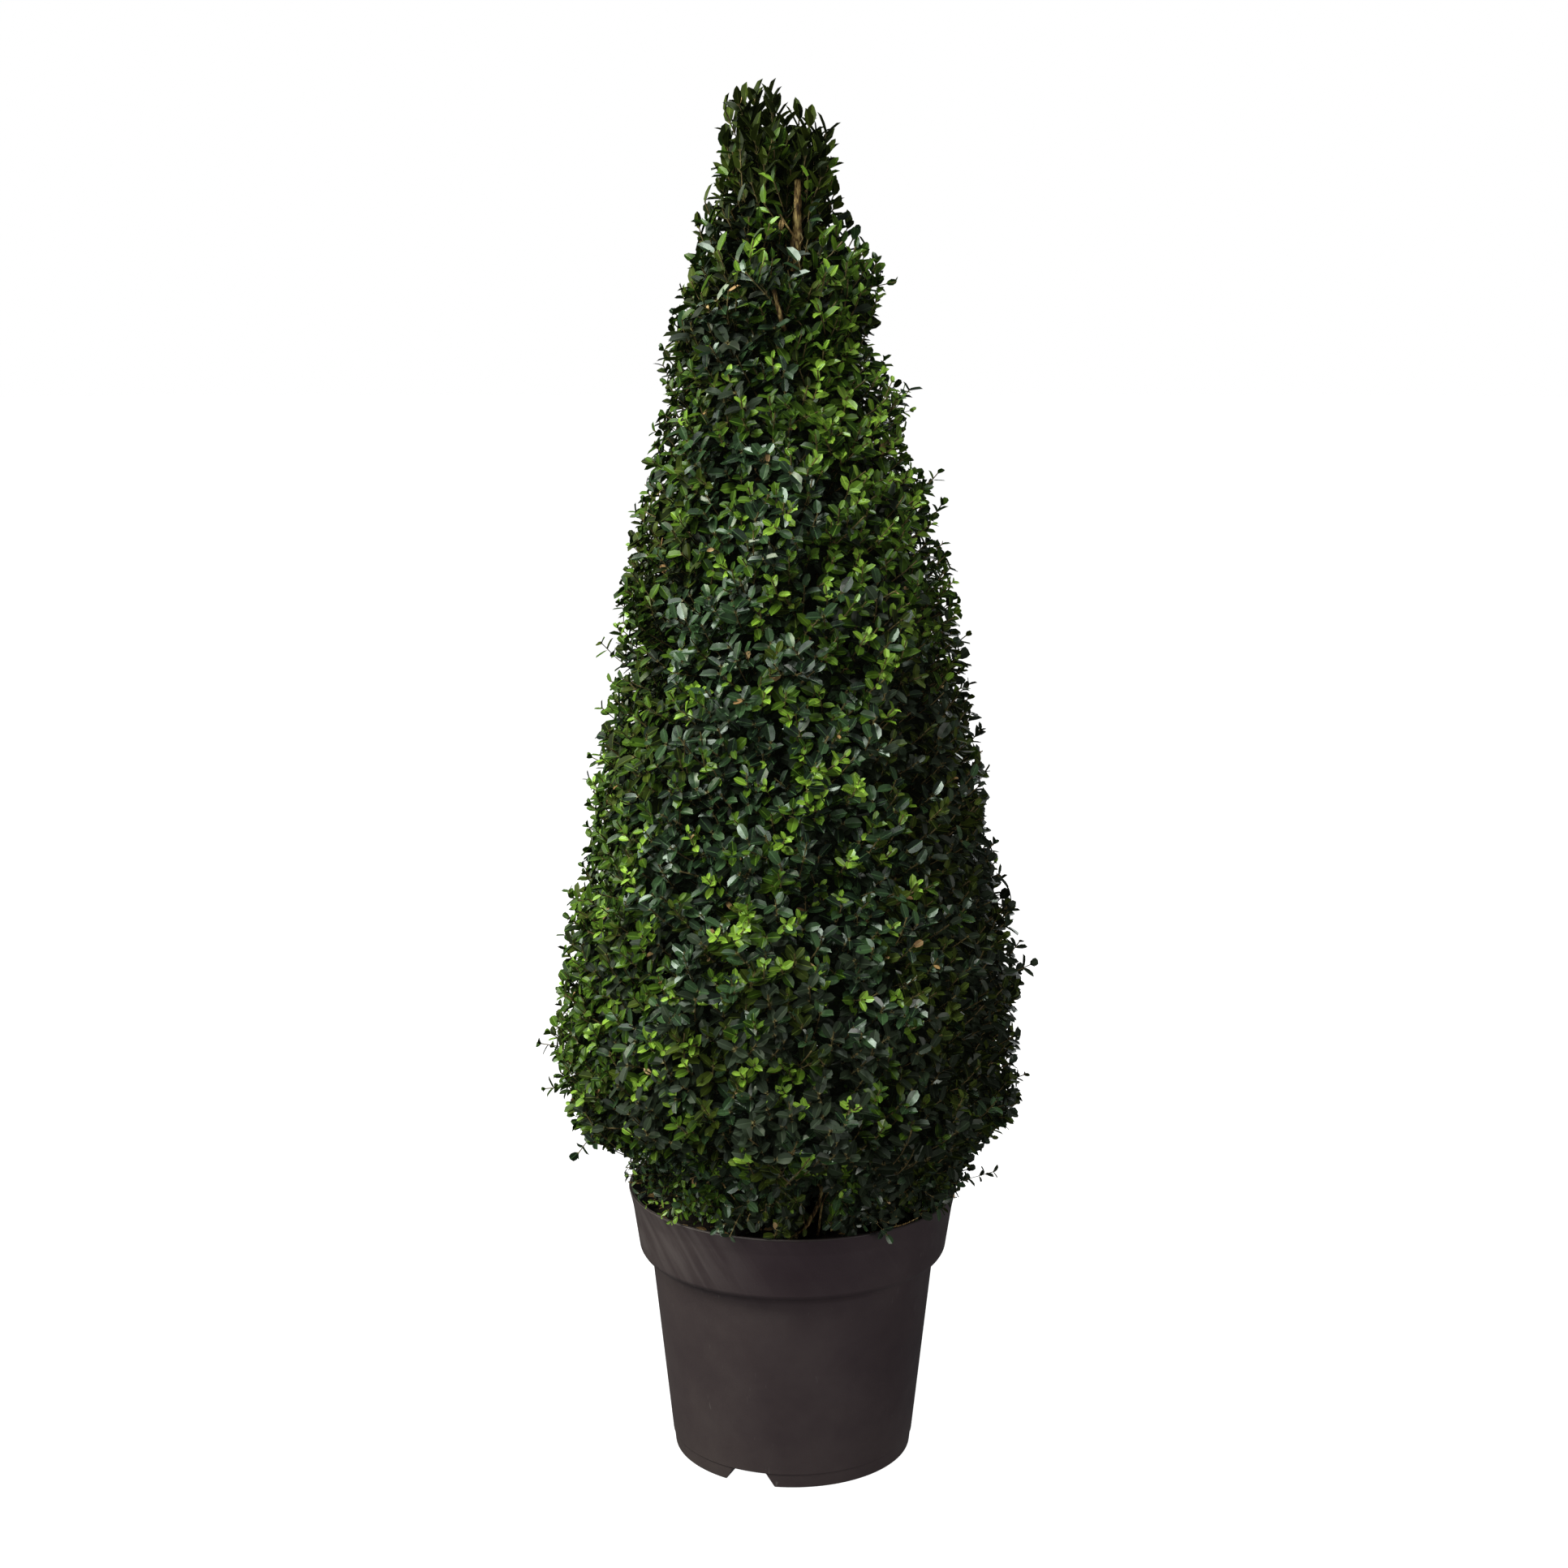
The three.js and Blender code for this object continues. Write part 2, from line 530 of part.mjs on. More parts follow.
// Where each leaf or shoot of a mass starts and ends: its tips are spread evenly over its surface
function growthLines(mass, random) {
  const lines = [];
  const bottom = isSkirt(mass) ? mass.from + 8 : mass.from;
  const turns = Math.floor(random() * 1000);
  const crest = isTuft(mass) ? mass.to - 30 : mass.to;
  const spacing = isTuft(mass) ? TUFT_LEAF_SPACING : LEAF_SPACING;
  let height = bottom;
  for (let i = 0; height < crest; i += 1) {
    const angle = (turns + i) * GOLDEN_ANGLE;
    const outline = surfaceRadius(mass, angle, height);
    height += spacing ** 2 / (2 * Math.PI * Math.max(outline, 40));
    const isLow = isSkirt(mass) && height < 420;
    const lift = isLow ? -0.9 + 0.9 * random() : 0.7 + 0.7 * random();
    const reach = outline - 9 * random();
    const rootHeight = THREE.MathUtils.clamp(height - lift * LEAF_DEPTH, bottom + 4, mass.to - 6);
    const turnAside = (random() - 0.5) * 1.6 * Math.min(0.5, LEAF_DEPTH / outline);
    const sink = i % TWIGS_EVERY ? LEAF_SINK : TWIG_SINK;
    const root = onMass(mass, angle + turnAside, rootHeight,
      Math.max(1, coreRadius(mass, angle + turnAside, rootHeight) - sink));
    lines.push({ root, tip: onMass(mass, angle, height, reach), twiggy: i % TWIGS_EVERY === 0 });
  }
  return lines;
}

// Upright shoots at the head of a tuft
function headLines(mass, random) {
  if (!isTuft(mass)) return [];
  const base = mass.to - HEAD_DEPTH;
  return Array.from({ length: 6 }, (_, i) => {
    const angle = i * GOLDEN_ANGLE;
    const out = i ? 20 + 8 * random() : 0;
    const root = onMass(mass, angle, base - 9, Math.min(out * 0.3, 6));
    const tip = onMass(mass, angle, mass.to - (i ? 6 + 16 * random() : 0), out);
    return { root, tip, twiggy: i % 2 === 0 };
  });
}

function strayLines(mass) {
  const tips = STRAY_TIPS.map(({ angle, height, reach }) => polar(angle, reach, height));
  return tips.filter((tip) => inSpace(mass, tip, 8)).map((tip) => {
    const level = THREE.MathUtils.clamp(tip.z - 22, mass.from + 6, mass.to - 6);
    const angle = Math.atan2(tip.y, tip.x - centreOf(mass, level));
    const root = onMass(mass, angle, level, Math.max(1, coreRadius(mass, angle, level) - TWIG_SINK));
    return { root, tip, twiggy: true };
  });
}

// The stem by which a tuft branches from the leader
function tuftStem(mass) {
  if (!isTuft(mass)) return [];
  const foot = new THREE.Vector3(4, -43, TUFT_FOOT + 16);
  const head = onMass(mass, Math.PI * 1.5, TUFT_FOOT + 34, 4);
  return [limb([foot, foot.clone().lerp(head, 0.5), head], () => 3.5, 5, 2).subtract(makeTrunk(GAP))];
}

function makeMass(mass, seed) {
  const random = seeded(seed);
  const lines = [...growthLines(mass, random), ...headLines(mass, random), ...strayLines(mass)];
  const parts = lines.flatMap(({ root, tip, twiggy }) => (
    (twiggy ? shoot : lonelyLeaf)(mass, root, tip, random)).map(solidOf));
  return largestBody([...tuftStem(mass), ...parts].reduce((solid, part) => solid.add(part), makeCore(mass)));
}

// The finishes
const finish = (color, roughness) => new THREE.MeshStandardMaterial({ color, roughness, metalness: 0 });
const PLASTIC = finish(0x3b3637, 0.55);
const COMPOST = finish(0x2a211a, 0.95);
const BARK = finish(0x7a6142, 0.9);
const LEAVES = finish(0x2f5a22, 0.45);

const plant = new THREE.Group();

function addNode(name, solid, material) {
  const mesh = new THREE.Mesh(geometryOf(solid), material);
  mesh.name = name;
  plant.add(mesh);
}

addNode('pot', makePot(), PLASTIC);
addNode('soil', makeSoil(), COMPOST);
addNode('trunk', makeTrunk(0), BARK);
BOUGHS.forEach((bough) => addNode(bough.name, makeBough(bough, 0), BARK));
MASSES.forEach((mass, i) => addNode(mass.name, makeMass(mass, 101 + i * 37), LEAVES));

export default plant;
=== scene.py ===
# %% [markdown]
# # A boxwood cone in its nursery container
# The plant is a common boxwood that has been clipped to a tall cone. It has one leader in the middle, a
# few stems that rise beside it, and a dense coat of small glossy leaves. It grows in a dark plastic
# container with a stepped collar. The solids of the part give every size. This lesson dresses them:
# container, compost, bark, twigs and leaves, each in its real place.

import math

import bmesh
import bpy
import numpy as np
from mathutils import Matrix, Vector, noise


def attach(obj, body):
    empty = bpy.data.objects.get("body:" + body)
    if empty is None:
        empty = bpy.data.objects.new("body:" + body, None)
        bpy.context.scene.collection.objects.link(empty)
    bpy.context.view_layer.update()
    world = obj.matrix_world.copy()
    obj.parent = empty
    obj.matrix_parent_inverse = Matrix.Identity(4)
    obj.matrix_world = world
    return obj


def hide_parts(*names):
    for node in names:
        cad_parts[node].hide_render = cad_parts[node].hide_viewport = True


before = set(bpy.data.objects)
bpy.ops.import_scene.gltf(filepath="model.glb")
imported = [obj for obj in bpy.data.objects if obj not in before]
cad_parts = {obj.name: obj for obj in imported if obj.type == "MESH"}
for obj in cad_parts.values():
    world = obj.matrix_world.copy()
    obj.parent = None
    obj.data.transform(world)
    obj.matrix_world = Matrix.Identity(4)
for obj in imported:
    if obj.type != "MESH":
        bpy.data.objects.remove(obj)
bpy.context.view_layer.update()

# %% [markdown]
# ## Camera
# The photograph was taken from about three metres away and a little below the plant's tip, looking
# slightly down. A camera could be placed by eye, but the ellipses of the container's rim and foot fix its
# height, its tilt and its lens, so those three numbers are used.

# %% Place the camera
CAMERA_PLACE = (-0.0106, -3.0, 1.4166)
CAMERA_TILT_DOWN = 0.1939
CAMERA_LENS = 59.16

bpy.ops.object.camera_add(location=CAMERA_PLACE, rotation=(math.pi / 2 - CAMERA_TILT_DOWN, 0, 0))
camera = bpy.context.object
camera.name = "camera"
camera.data.lens = CAMERA_LENS
camera.data.sensor_width = 36
bpy.context.scene.camera = camera
print("camera looks down by", round(math.degrees(CAMERA_TILT_DOWN), 1), "degrees")

# %% [markdown]
# ## Light and floor
# The plant is lit from the left by one broad, strong lamp, and its right flank lies in deep shade. A
# bright room would fill that shade, so the surroundings stay dim. A lamp overhead lays a soft sheen on
# the leaves that look up, as an open sky does, and one in front lights the container. A small low lamp
# puts crisp glints on the leaves above the rim. Two weak ones keep the back and the foot from going
# black. Each row gives place, target, width in metres, power in watts and tint.

# %% Hang the lamps
def soft_lamp(name, place, target, width, power, tint):
    """A square lamp of a given width that points at a target."""
    bpy.ops.object.light_add(type="AREA", location=place)
    lamp = bpy.context.object
    lamp.name = name
    lamp.data.size = width
    lamp.data.energy = power
    lamp.data.color = tint
    lamp.rotation_mode = "QUATERNION"
    lamp.rotation_quaternion = (Vector(target) - Vector(place)).to_track_quat("-Z", "Y")
    print("lamp", name, "of", power, "W")


PLANT_MIDDLE = (0.0, 0.0, 0.9)
LAMPS = {
    "key_lamp": ((-6.6, -0.75, 4.6), PLANT_MIDDLE, 3.0, 312.0, (1.0, 0.97, 0.81)),
    "sky_lamp": ((-1.7, -1.9, 4.6), PLANT_MIDDLE, 2.0, 170.0, (0.98, 0.99, 0.97)),
    "front_lamp": ((-3.0, -3.4, 2.4), PLANT_MIDDLE, 1.9, 40.0, (0.98, 0.98, 1.0)),
    "glint_lamp": ((-3.2, -2.4, 0.95), (-0.14, -0.10, 0.37), 0.45, 13.0, (1.0, 1.0, 0.97)),
    "back_lamp": ((0.9, 3.6, 2.9), PLANT_MIDDLE, 2.0, 66.0, (0.97, 0.98, 1.0)),
    "low_lamp": ((1.9, -2.0, 0.35), (0.0, 0.0, 0.15), 1.0, 18.0, (1.0, 0.88, 0.93)),
}
for name, row in LAMPS.items():
    soft_lamp(name, *row)

ROOM_COLOUR = (0.90, 0.95, 0.97, 1.0)
ROOM_STRENGTH = 0.088
world = bpy.data.worlds.new("dim_room")
bpy.context.scene.world = world
world.use_nodes = True
room = world.node_tree.nodes["Background"]
room.inputs["Color"].default_value = ROOM_COLOUR
room.inputs["Strength"].default_value = ROOM_STRENGTH
bpy.context.scene.view_settings.view_transform = "Standard"

# %% [markdown]
# ## Finishes
# Every finish is made of nodes, so that it needs no picture. A noise on the piece's own place shifts
# between two colours, a second one changes the gloss, and a third one lifts fine relief. Painting by hand
# would give more control, but noise at the right size already reads as bark, plastic or leaf.

# %% Noise helpers
def new_finish(name):
    """A new material with its shader node and a coordinate node that follows the piece."""
    material = bpy.data.materials.new(name)
    material.use_nodes = True
    tree = material.node_tree
    coordinates = tree.nodes.new("ShaderNodeTexCoord")
    return material, tree, tree.nodes["Principled BSDF"], coordinates.outputs["Object"]


def fill(tree, node, values):
    """Sets a node's sockets, each to a plain value or to what another node gives."""
    for socket, value in values.items():
        if isinstance(value, bpy.types.NodeSocket):
            tree.links.new(value, node.inputs[socket])
        else:
            node.inputs[socket].default_value = value
    return node


def stretched(tree, vector, scale):
    """The coordinates, stretched along each axis."""
    mapping = tree.nodes.new("ShaderNodeMapping")
    return fill(tree, mapping, {"Vector": vector, "Scale": scale}).outputs["Vector"]


def noise_of(tree, vector, scale, detail=3.0, roughness=0.55, distortion=0.0):
    """A grey noise whose features are about 1 / scale metres wide."""
    values = {"Vector": vector, "Scale": scale, "Detail": detail, "Roughness": roughness,
              "Distortion": distortion}
    return fill(tree, tree.nodes.new("ShaderNodeTexNoise"), values).outputs["Fac"]


print("noise helpers ready")

# %% Colour helpers
def ramp_of(tree, factor, stops):
    """Colours that follow a grey value, given as (position, colour) pairs."""
    ramp = fill(tree, tree.nodes.new("ShaderNodeValToRGB"), {"Fac": factor})
    elements = ramp.color_ramp.elements
    while len(elements) < len(stops):
        elements.new(0.5)
    for element, (position, colour) in zip(elements, stops):
        element.position = position
        element.color = (*colour, 1.0)
    return ramp.outputs["Color"]


def range_of(tree, factor, low, high, start=0.3, end=0.7):
    """A grey value that runs from low to high while the factor runs from start to end."""
    values = {"Value": factor, "From Min": start, "From Max": end, "To Min": low, "To Max": high}
    return fill(tree, tree.nodes.new("ShaderNodeMapRange"), values).outputs["Result"]


def mixed(tree, factor, first, second):
    """One colour over another, by a grey value."""
    mix = tree.nodes.new("ShaderNodeMix")
    mix.data_type = "RGBA"
    first, second = ((*colour, 1.0) if isinstance(colour, tuple) else colour for colour in (first, second))
    return fill(tree, mix, {0: factor, 6: first, 7: second}).outputs[2]


def worked_out(tree, operation, *values):
    """One step of arithmetic on grey values, some of which may be plain numbers."""
    step = tree.nodes.new("ShaderNodeMath")
    step.operation = operation
    return fill(tree, step, dict(enumerate(values))).outputs["Value"]


def product(tree, first, second):
    """Two grey values multiplied."""
    return worked_out(tree, "MULTIPLY", first, second)


def relief(tree, height, distance):
    """Fine relief from a grey value, whose full height is the distance."""
    bump = tree.nodes.new("ShaderNodeBump")
    return fill(tree, bump, {"Height": height, "Distance": distance, "Strength": 1.0}).outputs["Normal"]


print("colour helpers ready")

# %% [markdown]
# ## Tools for modelling
# The shapes are made as by hand: a ring is added, then extruded and scaled step by step. Two habits keep
# this safe in a script. Everything is deselected before a new shape is added, and edges are picked in code
# by where they lie.

# %% Selecting helpers
def leave_edit_mode():
    if bpy.context.mode != "OBJECT":
        bpy.ops.object.mode_set(mode="OBJECT")


def deselect_all():
    leave_edit_mode()
    bpy.ops.object.select_all(action="DESELECT")


def choose(piece):
    """Makes one piece the only selected one and the active one."""
    deselect_all()
    piece.select_set(True)
    bpy.context.view_layer.objects.active = piece


def edit(piece):
    """Opens one piece in edit mode with nothing else selected."""
    choose(piece)
    bpy.ops.object.mode_set(mode="EDIT")


def pick_vertices(piece, rule):
    """Selects the vertices of a piece in edit mode by a rule on their place."""
    bpy.ops.mesh.select_mode(type="VERT")
    bpy.ops.mesh.select_all(action="DESELECT")
    shape = bmesh.from_edit_mesh(piece.data)
    for vertex in shape.verts:
        vertex.select_set(rule(vertex.co))
    shape.select_flush(True)
    bmesh.update_edit_mesh(piece.data)


def settle(piece):
    """Puts a piece's place into its mesh, and its object at the origin."""
    choose(piece)
    bpy.ops.object.transform_apply(location=True, rotation=True, scale=True)


def smooth_by_angle(piece, degrees):
    choose(piece)
    bpy.ops.object.shade_smooth_by_angle(angle=math.radians(degrees))


print("selecting helpers ready")

# %% Raise rings
def raise_rings(name, rings, sides):
    """A closed solid made of level rings, each given as (centre, radius), extruded one from another."""
    deselect_all()
    centre, radius = Vector(rings[0][0]), rings[0][1]
    bpy.ops.mesh.primitive_circle_add(vertices=sides, radius=radius, location=centre)
    piece = bpy.context.object
    piece.name = name
    settle(piece)
    edit(piece)
    bpy.ops.mesh.select_mode(type="EDGE")
    bpy.ops.mesh.select_all(action="SELECT")
    bpy.ops.mesh.edge_face_add()
    bpy.ops.mesh.select_all(action="DESELECT")
    shape = bmesh.from_edit_mesh(piece.data)
    for edge in shape.edges:
        edge.select_set(True)
    bmesh.update_edit_mesh(piece.data)
    for next_centre, next_radius in rings[1:]:
        step = Vector(next_centre) - centre
        bpy.ops.mesh.extrude_edges_move(TRANSFORM_OT_translate={"value": step})
        ratio = next_radius / radius
        centre, radius = Vector(next_centre), next_radius
        bpy.ops.transform.resize(value=(ratio, ratio, 1), center_override=centre)
    bpy.ops.mesh.edge_face_add()
    bpy.ops.mesh.select_all(action="SELECT")
    bpy.ops.mesh.normals_make_consistent(inside=False)
    leave_edit_mode()
    print(name, "made of", len(rings), "rings,", len(piece.data.polygons), "faces")
    return piece


print("ring helper ready")

# %% Dress a piece
def dress(piece, material, slot, *nodes):
    """Gives a piece its finish, hides the solids that it stands for and hangs it from the root; the slot is
    not used.
    """
    piece.data.materials.clear()
    piece.data.materials.append(material)
    if nodes:
        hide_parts(*nodes)
    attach(piece, "root")


print("dressing helper ready")

# %% [markdown]
# ## Container
# A nursery container is moulded in one piece: a tapered body, a step out to a collar that flares softly,
# and a rim with a fine groove along its top. It could be spun from a drawn profile. Here the rings are
# raised one by one, which keeps each height and radius readable. Rounded corners are short arcs of rings.

# %% Container sizes
POT_HEIGHT = 0.333
RIM_RADIUS = 0.200
LIP_HEIGHT = 0.007
LIP_OVERHANG = 0.002
COLLAR_FOOT_RADIUS = 0.187
SHOULDER_HEIGHT = 0.252
BODY_TOP_RADIUS = 0.173
BASE_RADIUS = 0.146
BAND_HEIGHT = 0.017
BAND_STEP = 0.001
WALL = 0.003
FLOOR_INSET = 0.012
ROUNDING = 0.0018


def body_radius(height):
    return BASE_RADIUS + (BODY_TOP_RADIUS - BASE_RADIUS) * height / SHOULDER_HEIGHT


def collar_radius(height):
    share = (height - SHOULDER_HEIGHT) / (POT_HEIGHT - SHOULDER_HEIGHT)
    return COLLAR_FOOT_RADIUS + (RIM_RADIUS - LIP_OVERHANG - COLLAR_FOOT_RADIUS) * share


print("collar flares by", round((collar_radius(POT_HEIGHT) - COLLAR_FOOT_RADIUS) * 1000, 1), "mm")

# %% Draw the profile
def rounded(profile, rounding, steps=4):
    """Replaces each inner corner of a profile of (radius, height) pairs by a short arc."""
    points = [np.array(profile[0], float)]
    for before, corner, after in zip(profile, profile[1:], profile[2:]):
        before, corner, after = (np.array(p, float) for p in (before, corner, after))
        back, on = np.linalg.norm(before - corner), np.linalg.norm(after - corner)
        reach = min(rounding, back * 0.45, on * 0.45)
        start = corner + (before - corner) / back * reach
        end = corner + (after - corner) / on * reach
        for share in np.linspace(0, 1, steps):
            points.append((1 - share) ** 2 * start + 2 * share * (1 - share) * corner + share ** 2 * end)
    points.append(np.array(profile[-1], float))
    return points


outside = [
    (BASE_RADIUS - FLOOR_INSET, 0.0),
    (BASE_RADIUS - BAND_STEP, 0.0),
    (body_radius(BAND_HEIGHT) - BAND_STEP, BAND_HEIGHT),
    (body_radius(BAND_HEIGHT + 0.001), BAND_HEIGHT + 0.001),
    (body_radius(SHOULDER_HEIGHT - 0.008), SHOULDER_HEIGHT - 0.008),
    (body_radius(SHOULDER_HEIGHT) + 0.002, SHOULDER_HEIGHT - 0.001),
    (COLLAR_FOOT_RADIUS - 0.0030, SHOULDER_HEIGHT + 0.001),
    (COLLAR_FOOT_RADIUS, SHOULDER_HEIGHT + 0.006),
    (collar_radius(POT_HEIGHT - 3 * LIP_HEIGHT), POT_HEIGHT - 3 * LIP_HEIGHT),
    (RIM_RADIUS - 0.0016, POT_HEIGHT - LIP_HEIGHT),
    (RIM_RADIUS, POT_HEIGHT - 0.0012),
    (RIM_RADIUS - 0.0008, POT_HEIGHT),
]
inside = [
    (RIM_RADIUS - 0.0020, POT_HEIGHT),
    (RIM_RADIUS - 0.0028, POT_HEIGHT - 0.0010),
    (RIM_RADIUS - 0.0036, POT_HEIGHT - 0.0002),
    (RIM_RADIUS - 0.0048, POT_HEIGHT - 0.0008),
    (collar_radius(POT_HEIGHT - 0.01) - WALL, POT_HEIGHT - 0.01),
    (COLLAR_FOOT_RADIUS - WALL, SHOULDER_HEIGHT + 0.008),
    (BODY_TOP_RADIUS - WALL, SHOULDER_HEIGHT + 0.002),
    (body_radius(0.008) - BAND_STEP - WALL, 0.008),
    (BASE_RADIUS - FLOOR_INSET, WALL),
]
outer_line = rounded(outside, ROUNDING)
wall_line = rounded(outside + inside, ROUNDING)
print("container profile has", len(wall_line), "rings")

# %% [markdown]
# ## Drainage
# Three channels run outwards under the floor, and each shows as a notch in the foot of the wall. They
# could be modelled into the floor by hand, but cutting them keeps their sides crisp. First a raised
# housing is added for each, trimmed so that it ends inside the wall, and then the channel is cut away.

# %% Sizes and cutters of the channels
CONTAINER_SIDES = 128
CHANNEL_ANGLES = (249, 9, 129)
CHANNEL_HEIGHT = 0.017
CHANNEL_TOP_WIDTH = 0.042
CHANNEL_FOOT_WIDTH = 0.064
CHANNEL_START = 0.052
CHANNEL_END = 0.170
DRAIN_RADIUS = 0.007
DRAIN_DISTANCE = 0.098
CUT_SPARE = 0.001


def level_rings(profile, inset=0.0):
    return [((0, 0, height), radius - inset) for radius, height in profile]


def channel_bar(angle, skin):
    """A bar of trapezoid section under the floor, larger by a skin for its housing."""
    deselect_all()
    length = CHANNEL_END - CHANNEL_START + skin
    top, foot = (CHANNEL_HEIGHT + skin, skin / 2) if skin else (CHANNEL_HEIGHT + CUT_SPARE, -CUT_SPARE)
    bpy.ops.mesh.primitive_cube_add(size=1, location=(CHANNEL_END - length / 2, 0, (top + foot) / 2))
    bar = bpy.context.object
    bar.scale = (length, CHANNEL_FOOT_WIDTH + 2.8 * skin, top - foot)
    settle(bar)
    edit(bar)
    pick_vertices(bar, lambda place: place.z > CHANNEL_HEIGHT / 2)
    ratio = (CHANNEL_TOP_WIDTH + 1.2 * skin) / (CHANNEL_FOOT_WIDTH + 2.8 * skin)
    bpy.ops.transform.resize(value=(1, ratio, 1), center_override=(0, 0, 0))
    leave_edit_mode()
    bar.rotation_euler = (0, 0, math.radians(angle))
    settle(bar)
    return bar


def drain_plug(angle):
    deselect_all()
    turn = math.radians(angle)
    place = (DRAIN_DISTANCE * math.cos(turn), DRAIN_DISTANCE * math.sin(turn), CHANNEL_HEIGHT)
    bpy.ops.mesh.primitive_cylinder_add(vertices=24, radius=DRAIN_RADIUS, depth=0.02, location=place)
    plug = bpy.context.object
    settle(plug)
    return plug


def combine(piece, tool, operation):
    """Joins, cuts or trims a piece with a tool, and throws the tool away."""
    change = piece.modifiers.new("combine", "BOOLEAN")
    change.operation = operation
    change.object = tool
    change.solver = "EXACT"
    choose(piece)
    bpy.ops.object.modifier_apply(modifier=change.name)
    bpy.data.objects.remove(tool)


print("channels:", len(CHANNEL_ANGLES), "of height", CHANNEL_HEIGHT)

# %% Raise the container and cut its channels
container = raise_rings("container", level_rings(wall_line), CONTAINER_SIDES)
for angle in CHANNEL_ANGLES:
    housing = channel_bar(angle, WALL)
    trimmer = raise_rings("trim_body", level_rings(outer_line, WALL / 2), CONTAINER_SIDES)
    combine(housing, trimmer, "INTERSECT")
    combine(container, housing, "UNION")
for angle in CHANNEL_ANGLES:
    combine(container, channel_bar(angle, 0.0), "DIFFERENCE")
    combine(container, drain_plug(angle), "DIFFERENCE")
smooth_by_angle(container, 32)
print("container faces:", len(container.data.polygons))

# %% [markdown]
# ## Plastic
# The container is recycled plastic: a warm grey that is nearly black, dull but not quite matt. Handling
# and rain have left a few pale scuffs on the body and dust near the foot. Slanting streaks of painted
# light lie on the left of the collar, where light falls between the leaves. A painted shadow of the skirt
# darkens the front of the collar, and painted shade darkens the top of the rim, less so on its lit left.
# Thin stretched noise, turned a little, makes the streaks. The place along the piece says where each of
# these shows.

# %% Plastic finish
# slant and stretch of the painted streaks of light on the left of the collar
LIGHT_STREAK_SLANT = math.radians(-32)
LIGHT_STREAK_STRETCH = (0.011, 0.05, 0.16)

plastic, tree, shader, place = new_finish("container_plastic")
cloudy = ramp_of(tree, noise_of(tree, place, 9.0, 4.0, 0.6), [
    (0.30, (0.050, 0.036, 0.039)), (0.52, (0.065, 0.049, 0.050)), (0.75, (0.083, 0.066, 0.064))])
heights = fill(tree, tree.nodes.new("ShaderNodeSeparateXYZ"), {"Vector": place}).outputs
# painted light: lighter slanting streaks on the left of the collar stand for light that falls between the
# leaves
slanted = tree.nodes.new("ShaderNodeMapping")
slanted.vector_type = "TEXTURE"
fill(tree, slanted, {"Vector": place, "Rotation": (0.0, LIGHT_STREAK_SLANT, 0.0), "Scale": LIGHT_STREAK_STRETCH})
painted_light_streaks = noise_of(tree, slanted.outputs["Vector"], 1.0, 2.5, 0.55, 0.3)
on_collar = range_of(tree, heights["Z"], 0.0, 1.0, SHOULDER_HEIGHT - 0.02, SHOULDER_HEIGHT + 0.03)
on_left = range_of(tree, heights["X"], 1.0, 0.12, -0.13, 0.0)
painted_light_streaks = product(tree, product(tree, range_of(tree, painted_light_streaks, 0.0, 0.8, 0.42, 0.64), on_collar), on_left)
scuffs = noise_of(tree, stretched(tree, place, (160.0, 160.0, 26.0)), 1.0, 2.0, 0.6, 1.2)
dust = range_of(tree, heights["Z"], 0.35, 0.0, 0.0, 0.07)
# painted shadow of the skirt: the front of the collar is darkened
painted_skirt_shadow = product(tree, on_collar, range_of(tree, heights["X"], 0.0, 0.65, -0.12, -0.02))
# painted shade: the top of the rim is darkened, less so on its lit left
on_rim = range_of(tree, heights["Z"], 0.0, 0.75, POT_HEIGHT - 0.0030, POT_HEIGHT - 0.0012)
coloured = cloudy
rim_shade_share = range_of(tree, heights["X"], 0.15, 1.0, -0.15, -0.08)
for share, colour in (
        (painted_light_streaks, (0.118, 0.098, 0.097)),
        (range_of(tree, scuffs, 0.0, 0.8, 0.715, 0.78), (0.16, 0.145, 0.135)),
        (product(tree, dust, noise_of(tree, place, 42.0, 4.0, 0.7)), (0.15, 0.125, 0.105)),
        (product(tree, painted_skirt_shadow, range_of(tree, heights["X"], 1.0, 0.0, 0.05, 0.13)), (0.036, 0.022, 0.028)),
        (product(tree, on_rim, rim_shade_share), (0.020, 0.016, 0.013))):
    coloured = mixed(tree, share, coloured, colour)
fill(tree, shader, {
    "Base Color": coloured, "Specular IOR Level": 0.45,
    "Roughness": range_of(tree, noise_of(tree, place, 30.0, 4.0), 0.42, 0.60),
    "Normal": relief(tree, noise_of(tree, place, 620.0, 3.0, 0.6), 0.00012)})
dress(container, plastic, "plastic", "pot")
print("container dressed")

# %% [markdown]
# ## Compost
# The container is filled to a finger's width below its lip with dark peaty compost, a little higher in
# the middle. It could be one flat disc, but it shows at the rim, so it has real crumbs: the top is inset
# into many rings and then lifted by two noises, a coarse and a fine one.

# %% Fill the container
SOIL_TOP = 0.318
SOIL_EDGE = 0.312
SOIL_CLEARANCE = 0.0045
SOIL_RADIUS = collar_radius(SOIL_EDGE) - 0.0042
SOIL_RINGS = 34

soil_rings = [((0, 0, 0.024), 0.1400),
              ((0, 0, SHOULDER_HEIGHT - 0.006), BODY_TOP_RADIUS - SOIL_CLEARANCE),
              ((0, 0, SHOULDER_HEIGHT + 0.008), COLLAR_FOOT_RADIUS - SOIL_CLEARANCE),
              ((0, 0, SOIL_EDGE - 0.004), SOIL_RADIUS)]
for step in range(1, SOIL_RINGS):
    height = SOIL_EDGE + (SOIL_TOP - SOIL_EDGE) * min(1, step / 10)
    soil_rings.append(((0, 0, height), SOIL_RADIUS * (1 - step / SOIL_RINGS)))
compost = raise_rings("compost", soil_rings, 150)
for point in compost.data.vertices:
    x, y, z = point.co
    if z > SOIL_EDGE - 0.001:
        coarse = noise.noise(Vector((x * 26, y * 26, 3.1)))
        fine = noise.noise(Vector((x * 120, y * 120, 7.7)))
        point.co.z += 0.0035 * coarse + 0.0022 * fine
smooth_by_angle(compost, 60)

